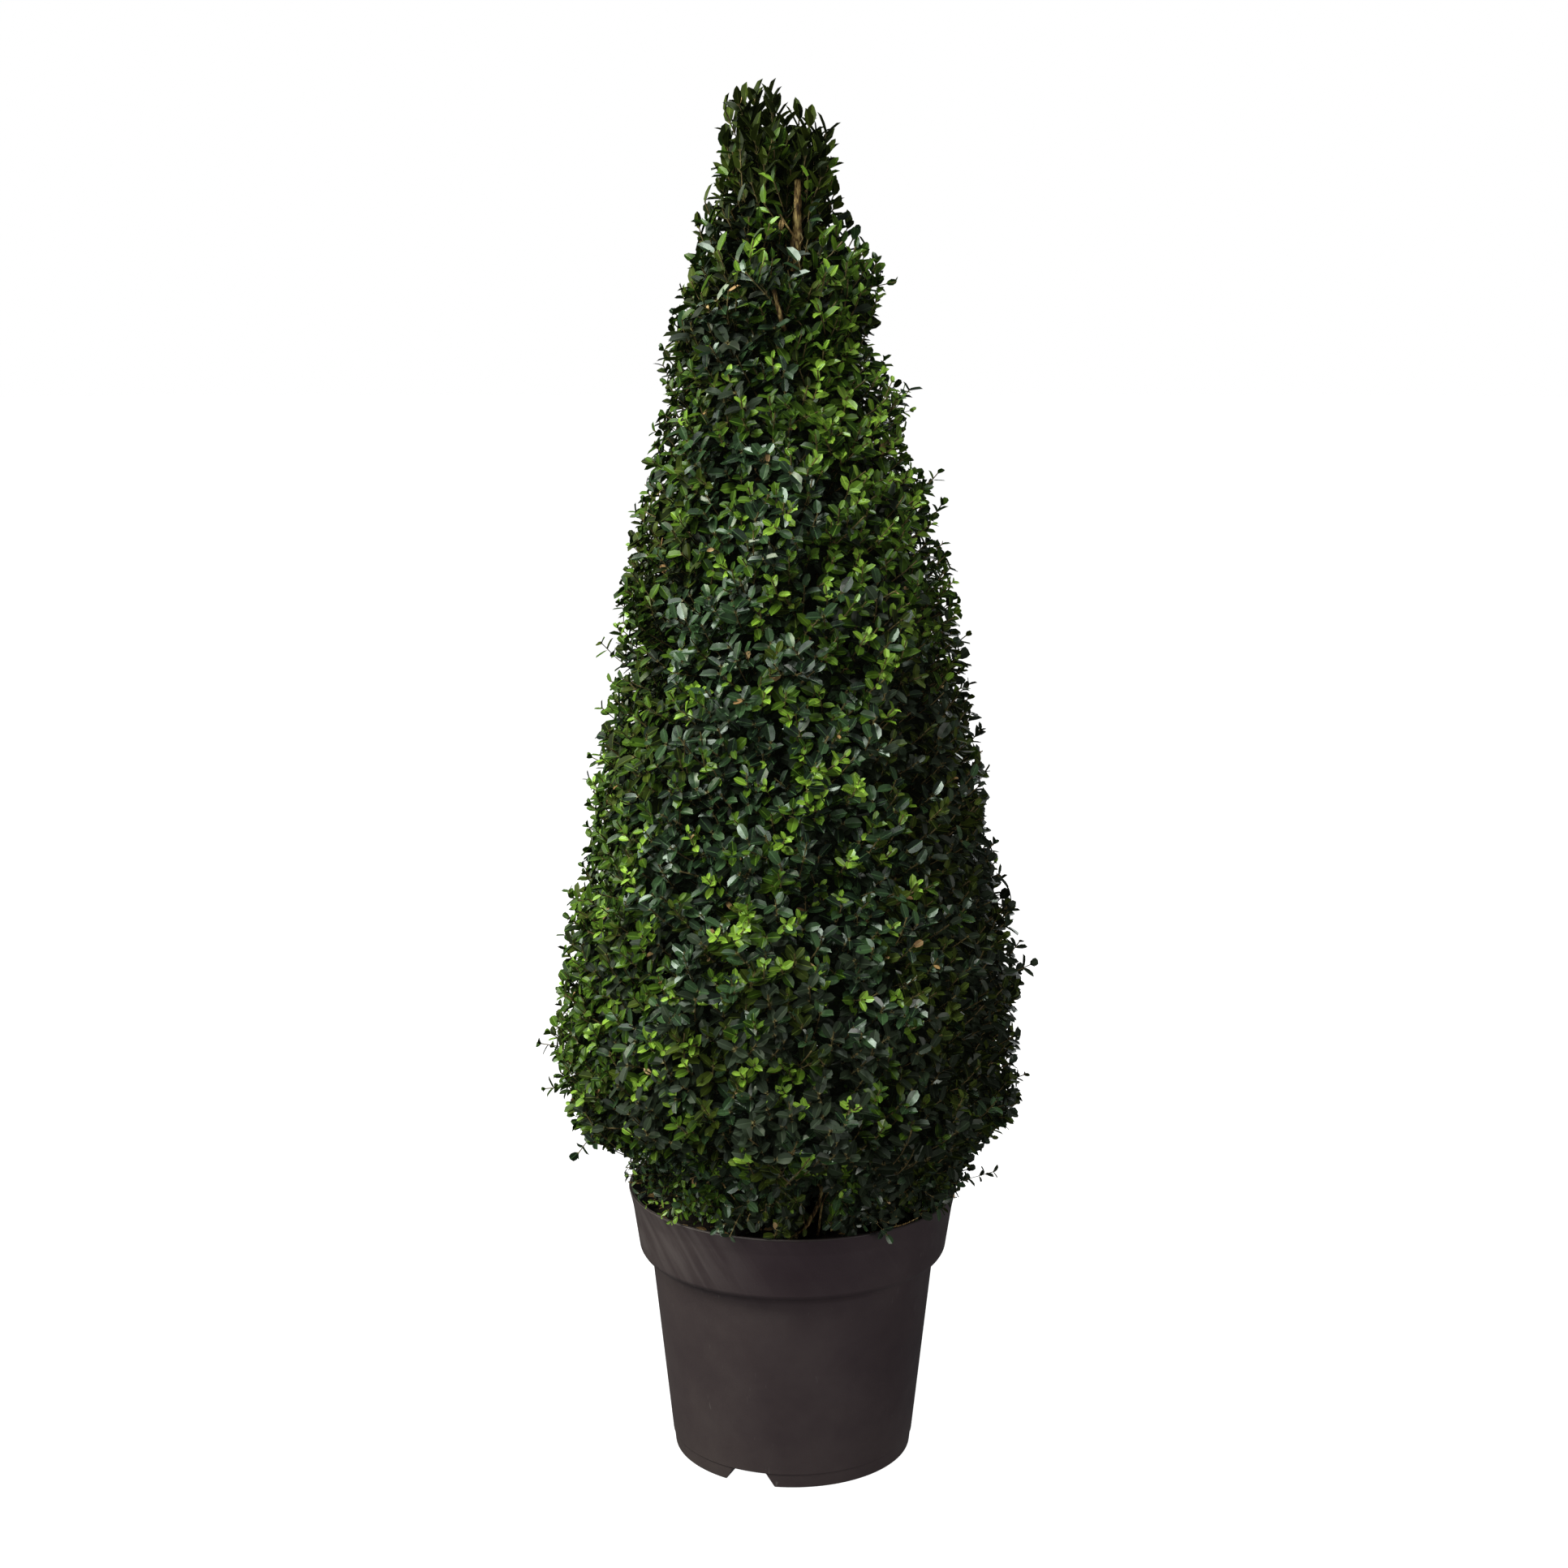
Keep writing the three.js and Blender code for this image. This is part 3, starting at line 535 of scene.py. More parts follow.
peat, tree, shader, place = new_finish("damp_peat")
crumbs = noise_of(tree, place, 150.0, 5.0, 0.7)
brown = ramp_of(tree, crumbs, [
    (0.30, (0.006, 0.004, 0.003)), (0.50, (0.018, 0.012, 0.008)), (0.72, (0.055, 0.038, 0.025))])
fill(tree, shader, {"Base Color": brown, "Roughness": 0.95, "Normal": relief(tree, crumbs, 0.002)})
dress(compost, peat, "compost", "soil")
print("compost faces:", len(compost.data.polygons))

# %% [markdown]
# ## Limbs
# The leader runs up the middle of the cone and was cut off short, so its stub shows in a gap near the
# top. Beside it a few thinner stems rise from the compost. Each limb is raised ring by ring along its
# line, and then its skin is roughened with long shallow ridges, which is how boxwood bark looks close by.

# %% Sizes of the limbs
MM = 0.001
STEM_TOP = 318.3 * MM
CROWN_FOOT = 398 * MM
GAP = 0.3 * MM
TRUNK_LINE = np.array([
    (0, 0, 318.3), (0, 0, 348.3), (-6, 5, 560), (5, -3, 840), (-5, -8, 1120), (1, -30, 1360),
    (3, -42, 1445), (5, -46, 1523)]) * MM
TRUNK_FOOT_RADIUS, TRUNK_TIP_RADIUS = 14 * MM, 5.5 * MM
ROOT_FLARE, ROOT_FLARE_HEIGHT = 8 * MM, 22 * MM
KNOT_HEIGHT, KNOT_SWELL = 1460 * MM, 2.4 * MM
# where the leader grows thinner: start and width of each step, and by how much
THINNER_STEPS = ((1.38, 60 * MM, 0.8 * MM), (1.497, 24 * MM, 1.0 * MM))
FRONT_STEM_LINE = np.array([
    (-3, -158, 318.3), (2, -159, 324), (15, -160, 334), (21, -160, 345), (30, -160, 364), (33, -160, 381),
    (24, -159, 392), (12, -157, 413)]) * MM
FRONT_STEM_RADII = ((0, 0.25, 0.3, 0.8, 1), (3.0, 2.5, 3.0, 2.3, 1.6))
BOUGH_RINGS = 26
# foot and tip of each hidden stem as angle and distance from the middle, and its radius, in millimetres
BOUGHS = {
    "bough_front_left": ((232, 70), (226, 92), 6.0),
    "bough_left": ((186, 66), (178, 94), 6.5),
    "bough_back_left": ((133, 68), (138, 92), 6.0),
    "bough_back": ((84, 64), (80, 94), 6.5),
    "bough_right": ((22, 66), (16, 92), 6.0),
    "bough_front_right": ((318, 70), (324, 94), 6.0),
}
print("hidden stems:", len(BOUGHS))

# %% Helpers for curves
def rising(value, start, width):
    """A share that runs from 0 to 1 while a value runs on from its start by a width."""
    return np.clip((value - start) / width, 0, 1)


def falling(value, end, width):
    """A share that runs from 1 to 0 over the last width before the end."""
    return np.clip((end - value) / width, 0, 1)


def polar(degrees, distance, height):
    angle = math.radians(degrees)
    return np.array((distance * math.cos(angle), distance * math.sin(angle), height))


def smooth_line(points, count):
    """Evenly spaced points on a smooth curve through the given points."""
    padded = np.vstack([2 * points[0] - points[1], points, 2 * points[-1] - points[-2]])
    fine = []
    for before, start, end, after in zip(padded, padded[1:], padded[2:], padded[3:]):
        for share in np.linspace(0, 1, 24, endpoint=False):
            fine.append(0.5 * (2 * start + (end - before) * share
                        + (2 * before - 5 * start + 4 * end - after) * share ** 2
                        + (3 * start - before - 3 * end + after) * share ** 3))
    fine = np.array(fine + [points[-1]])
    lengths = np.concatenate([[0], np.cumsum(np.linalg.norm(np.diff(fine, axis=0), axis=1))])
    wanted = np.linspace(0, lengths[-1], count)
    return np.stack([np.interp(wanted, lengths, fine[:, axis]) for axis in range(3)], axis=1)


print("curve helpers ready")

# %% Lines and radii of the limbs
def trunk_radius(height):
    up = rising(height, STEM_TOP, TRUNK_LINE[-1, 2] - STEM_TOP)
    flare = ROOT_FLARE * np.exp(-(height - STEM_TOP) / ROOT_FLARE_HEIGHT)
    knot = KNOT_SWELL * np.exp(-((height - KNOT_HEIGHT) / (8 * MM)) ** 2)
    thinner = sum(amount * rising(height, start, width) for start, width, amount in THINNER_STEPS)
    return TRUNK_FOOT_RADIUS + (TRUNK_TIP_RADIUS - TRUNK_FOOT_RADIUS) * up ** 0.8 + flare + knot - thinner


def leader_middle(height):
    """Where the middle of the leader lies at some heights."""
    return np.stack([np.interp(height, TRUNK_LINE[:, 2], TRUNK_LINE[:, axis]) for axis in (0, 1)], axis=1)


def bough_line(foot, tip):
    start = polar(foot[0], foot[1] * MM, STEM_TOP)
    end = polar(tip[0], tip[1] * MM, CROWN_FOOT - GAP)
    middle = start + (end - start) * 0.4
    middle[2] = STEM_TOP + (end[2] - start[2]) * 0.6
    return np.array([start, start + (0, 0, 12 * MM), middle, end])


trunk_path = smooth_line(TRUNK_LINE, 150)
along = np.linspace(0, 1, BOUGH_RINGS)
bough_paths = {"bough_front": smooth_line(FRONT_STEM_LINE, BOUGH_RINGS)}
bough_radii = {"bough_front": np.interp(along, *FRONT_STEM_RADII) * MM}
for name, (foot, tip, radius) in BOUGHS.items():
    bough_paths[name] = smooth_line(bough_line(foot, tip), BOUGH_RINGS)
    bough_radii[name] = radius * MM * (1 - 0.35 * along) + 2.5 * MM * np.exp(-along * 9)
print("leader length", round(float(np.linalg.norm(np.diff(trunk_path, axis=0), axis=1).sum()), 3), "m")

# %% [markdown]
# ## Bark
# Young boxwood bark is tan to grey-brown, with fine ridges that run along the limb and open round knots
# and old leaf scars. The ridges are lifted in the mesh itself, because the cut leader is seen from close
# by, and the finest cracks are left to the finish.

# %% Raise the limbs
def raise_limb(name, path, radii, sides, ridge):
    limb = raise_rings(name, list(zip(path, radii)), sides)
    for point in limb.data.vertices:
        nearest = int(np.argmin(np.abs(path[:, 2] - point.co.z)))
        away = point.co - Vector(path[nearest])
        away.z = 0
        if away.length > 1e-6:
            around = math.atan2(away.y, away.x)
            x, y = math.cos(around), math.sin(around)
            ridges = noise.noise(Vector((x * 2.6, y * 2.6, point.co.z * 38)))
            lumps = noise.noise(Vector((x, y, point.co.z * 95)) * 1.3)
            point.co += away.normalized() * ridge * (ridges * 0.75 + lumps * 0.5 - 0.35)
    smooth_by_angle(limb, 50)
    return limb


leader_path = np.vstack([trunk_path, trunk_path[-1] + (0.4 * MM, 0, 2.4 * MM)])
leader_radii = np.append(trunk_radius(trunk_path[:, 2]), 1.9 * MM)
limbs = {"trunk": raise_limb("leader", leader_path, leader_radii, 20, 1.9 * MM)}
for name, path in bough_paths.items():
    limbs[name] = raise_limb(name.replace("bough", "stem"), path, bough_radii[name], 14, 1.0 * MM)

bark, tree, shader, place = new_finish("boxwood_bark")
fibres = noise_of(tree, stretched(tree, place, (260.0, 260.0, 62.0)), 1.0, 5.0, 0.65, 0.4)
patches = noise_of(tree, place, 60.0, 3.0, 0.6)
streaked = ramp_of(tree, fibres, [
    (0.40, (0.030, 0.017, 0.007)), (0.50, (0.21, 0.135, 0.046)), (0.60, (0.60, 0.46, 0.17))])
patched = mixed(tree, range_of(tree, patches, 0.0, 0.5, 0.47, 0.7), streaked, (0.10, 0.075, 0.045))
fill(tree, shader, {"Base Color": patched, "Roughness": 0.85, "Specular IOR Level": 0.2,
                    "Normal": relief(tree, fibres, 0.0012)})
for node, limb in limbs.items():
    dress(limb, bark, "bark", node)
print("limbs:", len(limbs))

# %% [markdown]
# ## The clipped outline
# The crown is nearly round, but no two heights are alike: the skirt bulges, the sides flatten, and the
# top ends in two tufts. The outline is a short table of how far the leaves reach to the left and to
# the right at each height. Everything that grows is measured against it. Under the skirt the shears went
# in further at the front and the back, so that the foliage there stands back behind the rim.

# %% Outline of the crown
OUTLINE = np.array([
    [318, 198, 206], [345, 200, 222], [384, 200, 240], [406, 262, 261], [446, 287, 275], [495, 289, 270],
    [560, 280, 266], [617, 275, 274], [689, 264, 258], [760, 240, 232], [855, 240, 229], [948, 214, 205],
    [1040, 203, 192], [1132, 186, 168], [1177, 177, 167], [1222, 165, 130], [1289, 148, 128],
    [1355, 146, 88], [1399, 127, 100], [1446, 118, 92], [1486, 108, 60], [1529, 88, 54], [1593, 91, 43],
    [1636, 70, 20]]) * MM
TOP_OUTLINE = np.array([
    [-94, 1590], [-84, 1612], [-54, 1630], [-21, 1634], [-5, 1584], [6, 1606], [20, 1608], [38, 1598],
    [48, 1582]]) * MM
TUFT_PEAKS = ((-55, 1630), (-24, 1634), (18, 1607), (37, 1599))
TUFT_FOOT = 1446 * MM
TUFT_DEPTH = 0.84
CROWN_BOTTOM = 334 * MM
SKIRT_TUCK = 36 * MM
TUCK_TOP, TUCK_SPAN = 0.54, 0.10
GOLDEN_ANGLE = math.pi * (3 - math.sqrt(5))
print("outline rows:", len(OUTLINE), "up to", round(float(OUTLINE[-1, 0]), 3), "m")

# %% Measure the clipped surface
def edges_at(height):
    """Left and right limits of the crown at some heights."""
    left = -np.interp(height, OUTLINE[:, 0], OUTLINE[:, 1])
    right = np.interp(height, OUTLINE[:, 0], OUTLINE[:, 2])
    return left, right


def lump(angle, height):
    """Soft lumps on the front and back, which leave the measured sides as they are."""
    share = np.abs(np.sin(angle))
    return 1 + share * (0.035 * np.sin(3 * angle + height / 0.095)
                        + 0.025 * np.sin(7 * angle - height / 0.062))


def crown_surface(angle, height):
    """Centre and radius of the clipped surface at some angles and heights."""
    tucked = SKIRT_TUCK * np.abs(np.sin(angle)) * falling(height, TUCK_TOP, TUCK_SPAN)
    left, right = edges_at(np.maximum(height - tucked, np.minimum(height, CROWN_BOTTOM)))
    wide = (right - left) / 2
    deep = wide * np.where(height > TUFT_FOOT, TUFT_DEPTH, 1.0)
    return (left + right) / 2, lump(angle, height) / np.hypot(np.cos(angle) / wide, np.sin(angle) / deep)


def on_crown(angle, height, inset):
    """Points at some depth below the clipped surface."""
    centre, radius = crown_surface(angle, height)
    distance = np.maximum(radius - inset, 4 * MM)
    return np.stack([centre + distance * np.cos(angle), distance * np.sin(angle), height], axis=1)


def beyond_shears(points, allowance):
    """Whether each point stands further out than the shears left it."""
    left, right = edges_at(points[:, 2])
    centre = (left + right) / 2
    angle = np.arctan2(points[:, 1], points[:, 0] - centre)
    radius = crown_surface(angle, points[:, 2])[1]
    return np.hypot(points[:, 0] - centre, points[:, 1]) > radius + allowance


def unit(vectors):
    return vectors / np.maximum(np.linalg.norm(vectors, axis=-1, keepdims=True), 1e-9)


def outward_of(points):
    """Level directions away from the middle of the crown."""
    left, right = edges_at(points[:, 2])
    return unit(points - np.stack([(left + right) / 2, np.zeros(len(points)), points[:, 2]], axis=1))


for height in (0.47, 0.95, 1.4):
    half_width = crown_surface(np.zeros(1), np.array([height]))[1][0]
    print("half-width at", height, "m:", round(float(half_width), 3))

# %% [markdown]
# ## Where shoots end
# Clipping makes a shrub branch just behind each cut, so shoot tips crowd evenly over the whole surface.
# Random points would clump. A spiral that turns by the golden angle spreads them evenly at any spacing,
# and a smooth noise then sinks some of them, which gives the dark hollows between the sprays. Late sprigs
# stand a little proud, the peaks of the two tufts are placed, and so are single sprigs that were missed.

# %% Spread the tips
CROWN_SIDE_TOP = 1566 * MM
LATE_FOOT, LATE_TOP = 480 * MM, 1440 * MM
LATE_SPACING = 48 * MM
HANGING_TOP, BRIM_TOP = 385 * MM, 460 * MM
STEEP_FROM = 1280 * MM
TUFT_COLUMNS, TUFT_ROWS = np.arange(-77, 42, 17.5), np.arange(-46, 49, 24.0)
TUFT_HALF_DEPTH = 56 * MM
TUFT_ROOT = np.array((-20 * MM, 0, 1.10))


def spread(bottom, top, spacing, turns):
    """Angles and heights of points spread evenly over the clipped surface."""
    found = []
    height, count = bottom, turns
    while height < top:
        angle = (count * GOLDEN_ANGLE) % (2 * math.pi)
        radius = float(crown_surface(np.array([angle]), np.array([height]))[1][0])
        height += spacing ** 2 / (2 * math.pi * max(radius, 28 * MM))
        found.append((angle, height))
        count += 1
    return np.array(found)


def hollow(points, width, seed):
    """A smooth noise from -1 to 1 at some points, whose hollows are about as wide as given."""
    stretch = Vector((1 / width, 1 / width, 0.6 / width))
    return np.array([noise.noise(Vector(point) * stretch + Vector((seed, 0, 0))) for point in points])


print("golden angle in degrees:", round(math.degrees(GOLDEN_ANGLE), 2))

# %% Layers of shoots
LAYERS = (
    {"name": "outer", "spacing": 22.5 * MM, "inset": 11 * MM, "length": 56 * MM, "pairs": 6, "sides": 0},
    {"name": "inner", "spacing": 31 * MM, "inset": 44 * MM, "length": 60 * MM, "pairs": 5, "sides": 1},
    {"name": "deep", "spacing": 50 * MM, "inset": 84 * MM, "length": 70 * MM, "pairs": 5, "sides": 0},
    {"name": "foot", "spacing": 21 * MM, "inset": 12 * MM, "length": 50 * MM, "pairs": 5, "sides": 2,
     "top": 440 * MM},
    {"name": "foot", "spacing": 28 * MM, "inset": 44 * MM, "length": 50 * MM, "pairs": 5, "sides": 1,
     "top": 430 * MM},
)


def shoots_of(layer, random):
    """Tips, directions and lengths of all shoots of one layer."""
    top = layer.get("top", CROWN_SIDE_TOP)
    spots = spread(CROWN_BOTTOM, top, layer["spacing"], int(random.integers(1000)))
    angle = spots[:, 0] + random.normal(0, 0.35, len(spots)) * layer["spacing"] / 0.2
    height = spots[:, 1] + random.normal(0, 0.3, len(spots)) * layer["spacing"]
    height = np.clip(height, CROWN_BOTTOM, top)
    inset = layer["inset"] + random.uniform(-7, 7, len(spots)) * MM
    sunk = np.clip(hollow(on_crown(angle, height, inset), 62 * MM, 11.0) * 1.6, -0.3, 1)
    slim = np.interp(height, (1250 * MM, 1500 * MM), (1.0, 0.3))
    tips = on_crown(angle, height, inset + (sunk * 24 * slim + 3 * (slim - 1)) * MM)
    lift = np.radians(random.normal(48, 13, len(tips)))
    low = tips[:, 2] < HANGING_TOP
    lift[low] = np.radians(random.normal(4, 26, int(low.sum())))
    brim = (tips[:, 2] >= HANGING_TOP) & (tips[:, 2] < BRIM_TOP)
    lift[brim] = np.radians(random.normal(0, 14, int(brim.sum())))
    lift[brim] += rising(tips[brim, 2], HANGING_TOP, 75 * MM) * 0.6
    lift = np.clip(lift + rising(tips[:, 2], STEEP_FROM, 200 * MM) * 0.5, -0.8, 1.4)
    outward = outward_of(tips)
    across = np.stack([-outward[:, 1], outward[:, 0], np.zeros(len(tips))], axis=1)
    direction = outward * np.cos(lift)[:, None] + across * random.normal(0, 0.30, len(tips))[:, None]
    direction[:, 2] += np.sin(lift)
    return tips, unit(direction), layer["length"] * random.uniform(0.8, 1.2, len(tips))


print("layers:", [layer["name"] for layer in LAYERS])

# %% Late sprigs and tufts
def late_shoots(random):
    """Short sprigs that grew after the last clipping and stand a little proud of it."""
    spots = spread(LATE_FOOT, LATE_TOP, LATE_SPACING, int(random.integers(1000)))
    spots = spots[random.uniform(size=len(spots)) < np.where(np.cos(spots[:, 0]) < -0.4, 0.95, 0.5)]
    tips = on_crown(spots[:, 0], spots[:, 1], random.uniform(-7, 4, len(spots)) * MM)
    lift = np.radians(random.normal(50, 12, len(tips)))[:, None]
    outward = outward_of(tips)
    direction = outward * np.cos(lift) + np.array((0, 0, 1)) * np.sin(lift)
    direction = unit(direction + random.normal(0, 0.12, tips.shape))
    length = random.uniform(52, 68, len(tips)) * MM
    rooted = ~beyond_shears(tips - direction * length[:, None], -12 * MM)
    return tips[rooted], direction[rooted], length[rooted]


def crowning_shoots(random):
    """Long upright shoots that make the two tufts at the top."""
    tips = [(x * MM, random.uniform(-9, 3) * MM, (height - 24) * MM) for x, height in TUFT_PEAKS]
    for x in TUFT_COLUMNS:
        for y in TUFT_ROWS:
            place = np.array((x + random.uniform(-4, 4), y + random.uniform(-6, 6))) * MM
            top = np.interp(place[0], TOP_OUTLINE[:, 0], TOP_OUTLINE[:, 1])
            edge = abs(place[1]) / TUFT_HALF_DEPTH
            if edge < 1:
                tips.append((*place, top - (44 * edge ** 2 + 13 + 46 * random.uniform() ** 1.4) * MM))
    tips = np.array(tips)
    lean = unit(tips - TUFT_ROOT)
    return tips, unit(lean + random.normal(0, 0.10, lean.shape)), random.uniform(85, 125, len(tips)) * MM


print("placed peaks of the tufts:", len(TUFT_PEAKS))

# %% Missed sprigs
# angle, height and reach of single sprigs that stand out of the clipped surface, and how they rise
STRAYS = (
    (181, 509, 305, 10), (187, 462, 300, -5), (190, 384, 262, -60), (348, 363, 247, 22),
    (350, 620, 286, 30), (4, 462, 284, 20), (355, 1412, 116, 12), (2, 1290, 134, 60), (356, 1196, 168, 55),
    (178, 995, 226, 50), (118, 520, 296, 20), (60, 960, 226, 40), (183, 352, 190, 5), (228, 340, 212, -25),
    (300, 335, 216, -20), (250, 338, 212, -30), (179, 1318, 150, 70), (12, 1080, 190, 55),
    (205, 700, 272, 40), (196, 352, 196, 5), (204, 346, 202, -10), (213, 343, 206, -12),
    (222, 341, 208, -20), (246, 345, 214, 0), (188, 362, 188, 10), (193, 373, 184, 20), (200, 364, 188, 5),
    (192, 348, 194, 0), (208, 356, 194, 5), (181, 351, 202, 0), (186, 346, 201, -6), (190, 353, 202, 6),
    (176, 348, 199, 0), (184, 362, 198, 25), (214, 352, 187, 15), (220, 350, 190, 22), (226, 351, 189, 12),
    (232, 349, 192, 18), (238, 351, 192, 14), (243, 349, 196, 8), (287, 350, 190, 12), (292, 352, 188, 16),
    (297, 350, 191, 10), (302, 352, 189, 14), (307, 350, 191, 10),
)


def stray_shoots(random):
    """Single sprigs that the shears missed."""
    angle, height, reach, rise = (np.array(column, float) for column in zip(*STRAYS))
    angle, rise = np.radians(angle), np.radians(rise)
    tips = np.stack([reach * np.cos(angle), reach * np.sin(angle), height], axis=1) * MM
    level = np.stack([np.cos(angle), np.sin(angle)], axis=1) * np.cos(rise)[:, None]
    return tips, np.column_stack([level, np.sin(rise)]), random.uniform(62, 80, len(tips)) * MM


print("missed sprigs:", len(STRAYS))

# %% [markdown]
# ## Shoots and leaf pairs
# Boxwood leaves stand in pairs, each pair turned a quarter from the last, close together near the tip.
# Young pairs point forward and older ones open wider. The same few rules place every leaf: where on the
# shoot it sits, how wide it opens, how large it is, and a slight turn of its face towards the light.

# %% Rules of a shoot
PAIR_STEP = 8.0 * MM
PAIR_OPENING = np.radians([26, 42, 54, 60, 64, 66, 68])
PAIR_SIZE = np.array([0.64, 0.88, 1.0, 1.0, 0.98, 0.94, 0.9])
LEAF_LENGTH = 21.2 * MM
MATURE_OPENING = math.radians(20)
MATURE_SIZE = 0.92
TO_LIGHT = np.array((-0.35, -0.30, 0.50))
UPRIGHT_FROM = 1400 * MM


def root_bend(outward, length, share):
    """How far the lower part of a shoot bends in and down to where it came from."""
    return (outward * (1, 1, 0.2) + np.array((0, 0, 0.15))) * length * 0.42 * (1 - share) ** 2


def shoot_path(tips, direction, length, outward, samples):
    """Points on each shoot from its root to its tip."""
    share = np.linspace(0, 1, samples)[None, :, None]
    straight = tips[:, None] - direction[:, None] * (length[:, None, None] * (1 - share))
    return straight - root_bend(outward[:, None], length[:, None, None], share)


def turned_round(axis, angle):
    """A direction square to each axis, turned round it by an angle."""
    side = unit(np.cross(axis, np.array((0.13, 0.21, 0.97))))
    return side * np.cos(angle)[:, None] + np.cross(axis, side) * np.sin(angle)[:, None]


print("rules for", len(PAIR_SIZE), "pairs a shoot")

# %% Place the leaf pairs
def leaf_pairs(tips, direction, length, outward, pairs, random, size, mature, forward):
    """Places, directions, faces, lengths, pair numbers and shoot numbers of the leaves of some shoots."""
    found = []
    upright = rising(tips[:, 2], UPRIGHT_FROM, 60 * MM)
    step = PAIR_STEP * (1 + 0.3 * upright)
    first_turn = random.uniform(0, math.pi, len(tips))
    for pair in range(pairs):
        back = step * (pair + 0.1 * pair ** 1.3) * random.uniform(0.85, 1.15, len(tips)) + 1.5 * MM
        share = np.clip(1 - back / length, 0, 1)[:, None]
        place = tips - direction * (length[:, None] * (1 - share))
        place = place - root_bend(outward, length[:, None], share)
        for side in (0, math.pi):
            turn = first_turn + pair * math.pi / 2 + side + random.normal(0, 0.16, len(tips))
            opening = PAIR_OPENING[pair] + MATURE_OPENING * mature / (1 + pair)
            opening = opening + random.normal(0, 0.13, len(tips))
            opening *= (1 - 0.45 * upright) * forward
            around = turned_round(direction, turn)
            blade = direction * np.cos(opening)[:, None] + around * np.sin(opening)[:, None]
            face = direction * np.sin(opening)[:, None] - around * np.cos(opening)[:, None]
            face = unit(face + 0.35 * outward + 0.50 * TO_LIGHT + random.normal(0, 0.16, face.shape))
            blade = unit(blade - face * np.sum(blade * face, axis=1)[:, None])
            least = np.maximum(0.85 * upright, MATURE_SIZE * mature)
            scale = size * np.maximum(PAIR_SIZE[pair], least) * random.uniform(0.80, 1.20, len(tips))
            kept = random.uniform(size=len(tips)) > 0.05 + 0.035 * pair
            found.append((place[kept], blade[kept], face[kept], (LEAF_LENGTH * scale)[kept],
                          np.full(int(kept.sum()), pair), np.nonzero(kept)[0]))
    return [np.concatenate(column) for column in zip(*found)]


print("leaf length", LEAF_LENGTH, "m, a pair every", PAIR_STEP, "m")

# %% [markdown]
# ## Colours by spray
# The plant is mostly a deep blue-green. Its left edge and upper right are a livelier green, young
# yellow-green rosettes are scattered in drifts where it has grown since it was clipped, and the tufts are
# duller. Painted shade deals more sprays a darker, shaded colour at the front of the skirt, near the foot,
# on the right flank and in a few drifts, and fewer bright ones on the left, most of all high up. Painted
# light deals brighter colours to the lit left of the foot. Each spray is dealt one colour, by a chance that
# depends on where it stands, and only its youngest pairs are bright. The leaves inside are darker, partly
# with age and partly as painted shade.

# %% Drifts of colour
DARK, GREEN, YOUNG, DULL, SHADED, DRY = range(6)
# middle of each drift as angle and height, how far it reaches in both, and its strength
GREEN_DRIFTS = ((192, 0.85, 28, 0.40, 0.52), (328, 1.20, 26, 0.17, 0.75), (262, 1.36, 30, 0.12, 0.26),
                (215, 0.55, 20, 0.14, 0.20), (80, 0.70, 40, 0.30, 0.35), (120, 1.20, 40, 0.20, 0.35))
YOUNG_DRIFTS = ((205, 0.80, 22, 0.35, 0.10), (276, 0.76, 20, 0.20, 0.26), (325, 1.22, 24, 0.15, 0.58),
                (262, 0.50, 20, 0.05, 0.12), (204, 0.54, 16, 0.10, 0.22), (250, 1.36, 24, 0.10, 0.14),
                (265, 1.53, 22, 0.03, 0.50), (60, 0.90, 30, 0.25, 0.18), (130, 0.55, 25, 0.15, 0.14))
DULL_DRIFTS = ((250, 0.62, 16, 0.06, 0.30),)
# drifts of painted shade, where sprays are dealt the shaded colour more often
SHADED_DRIFTS = ((262, 0.54, 34, 0.09, 0.92), (236, 1.45, 26, 0.06, 0.50), (262, 1.33, 26, 0.04, 0.40))


def drift(tips, outward, drifts):
    """How strongly some drifts, given as angle, height, their spreads and strength, reach each tip."""
    angle = np.degrees(np.arctan2(outward[:, 1], outward[:, 0]))
    total = np.zeros(len(tips))
    for middle, height, wide, tall, strength in drifts:
        off = (angle - middle + 180) % 360 - 180
        total += strength * np.exp(-((off / wide) ** 2 + ((tips[:, 2] - height) / tall) ** 2) / 2)
    return total


print("drifts of green:", len(GREEN_DRIFTS), "and of young growth:", len(YOUNG_DRIFTS))

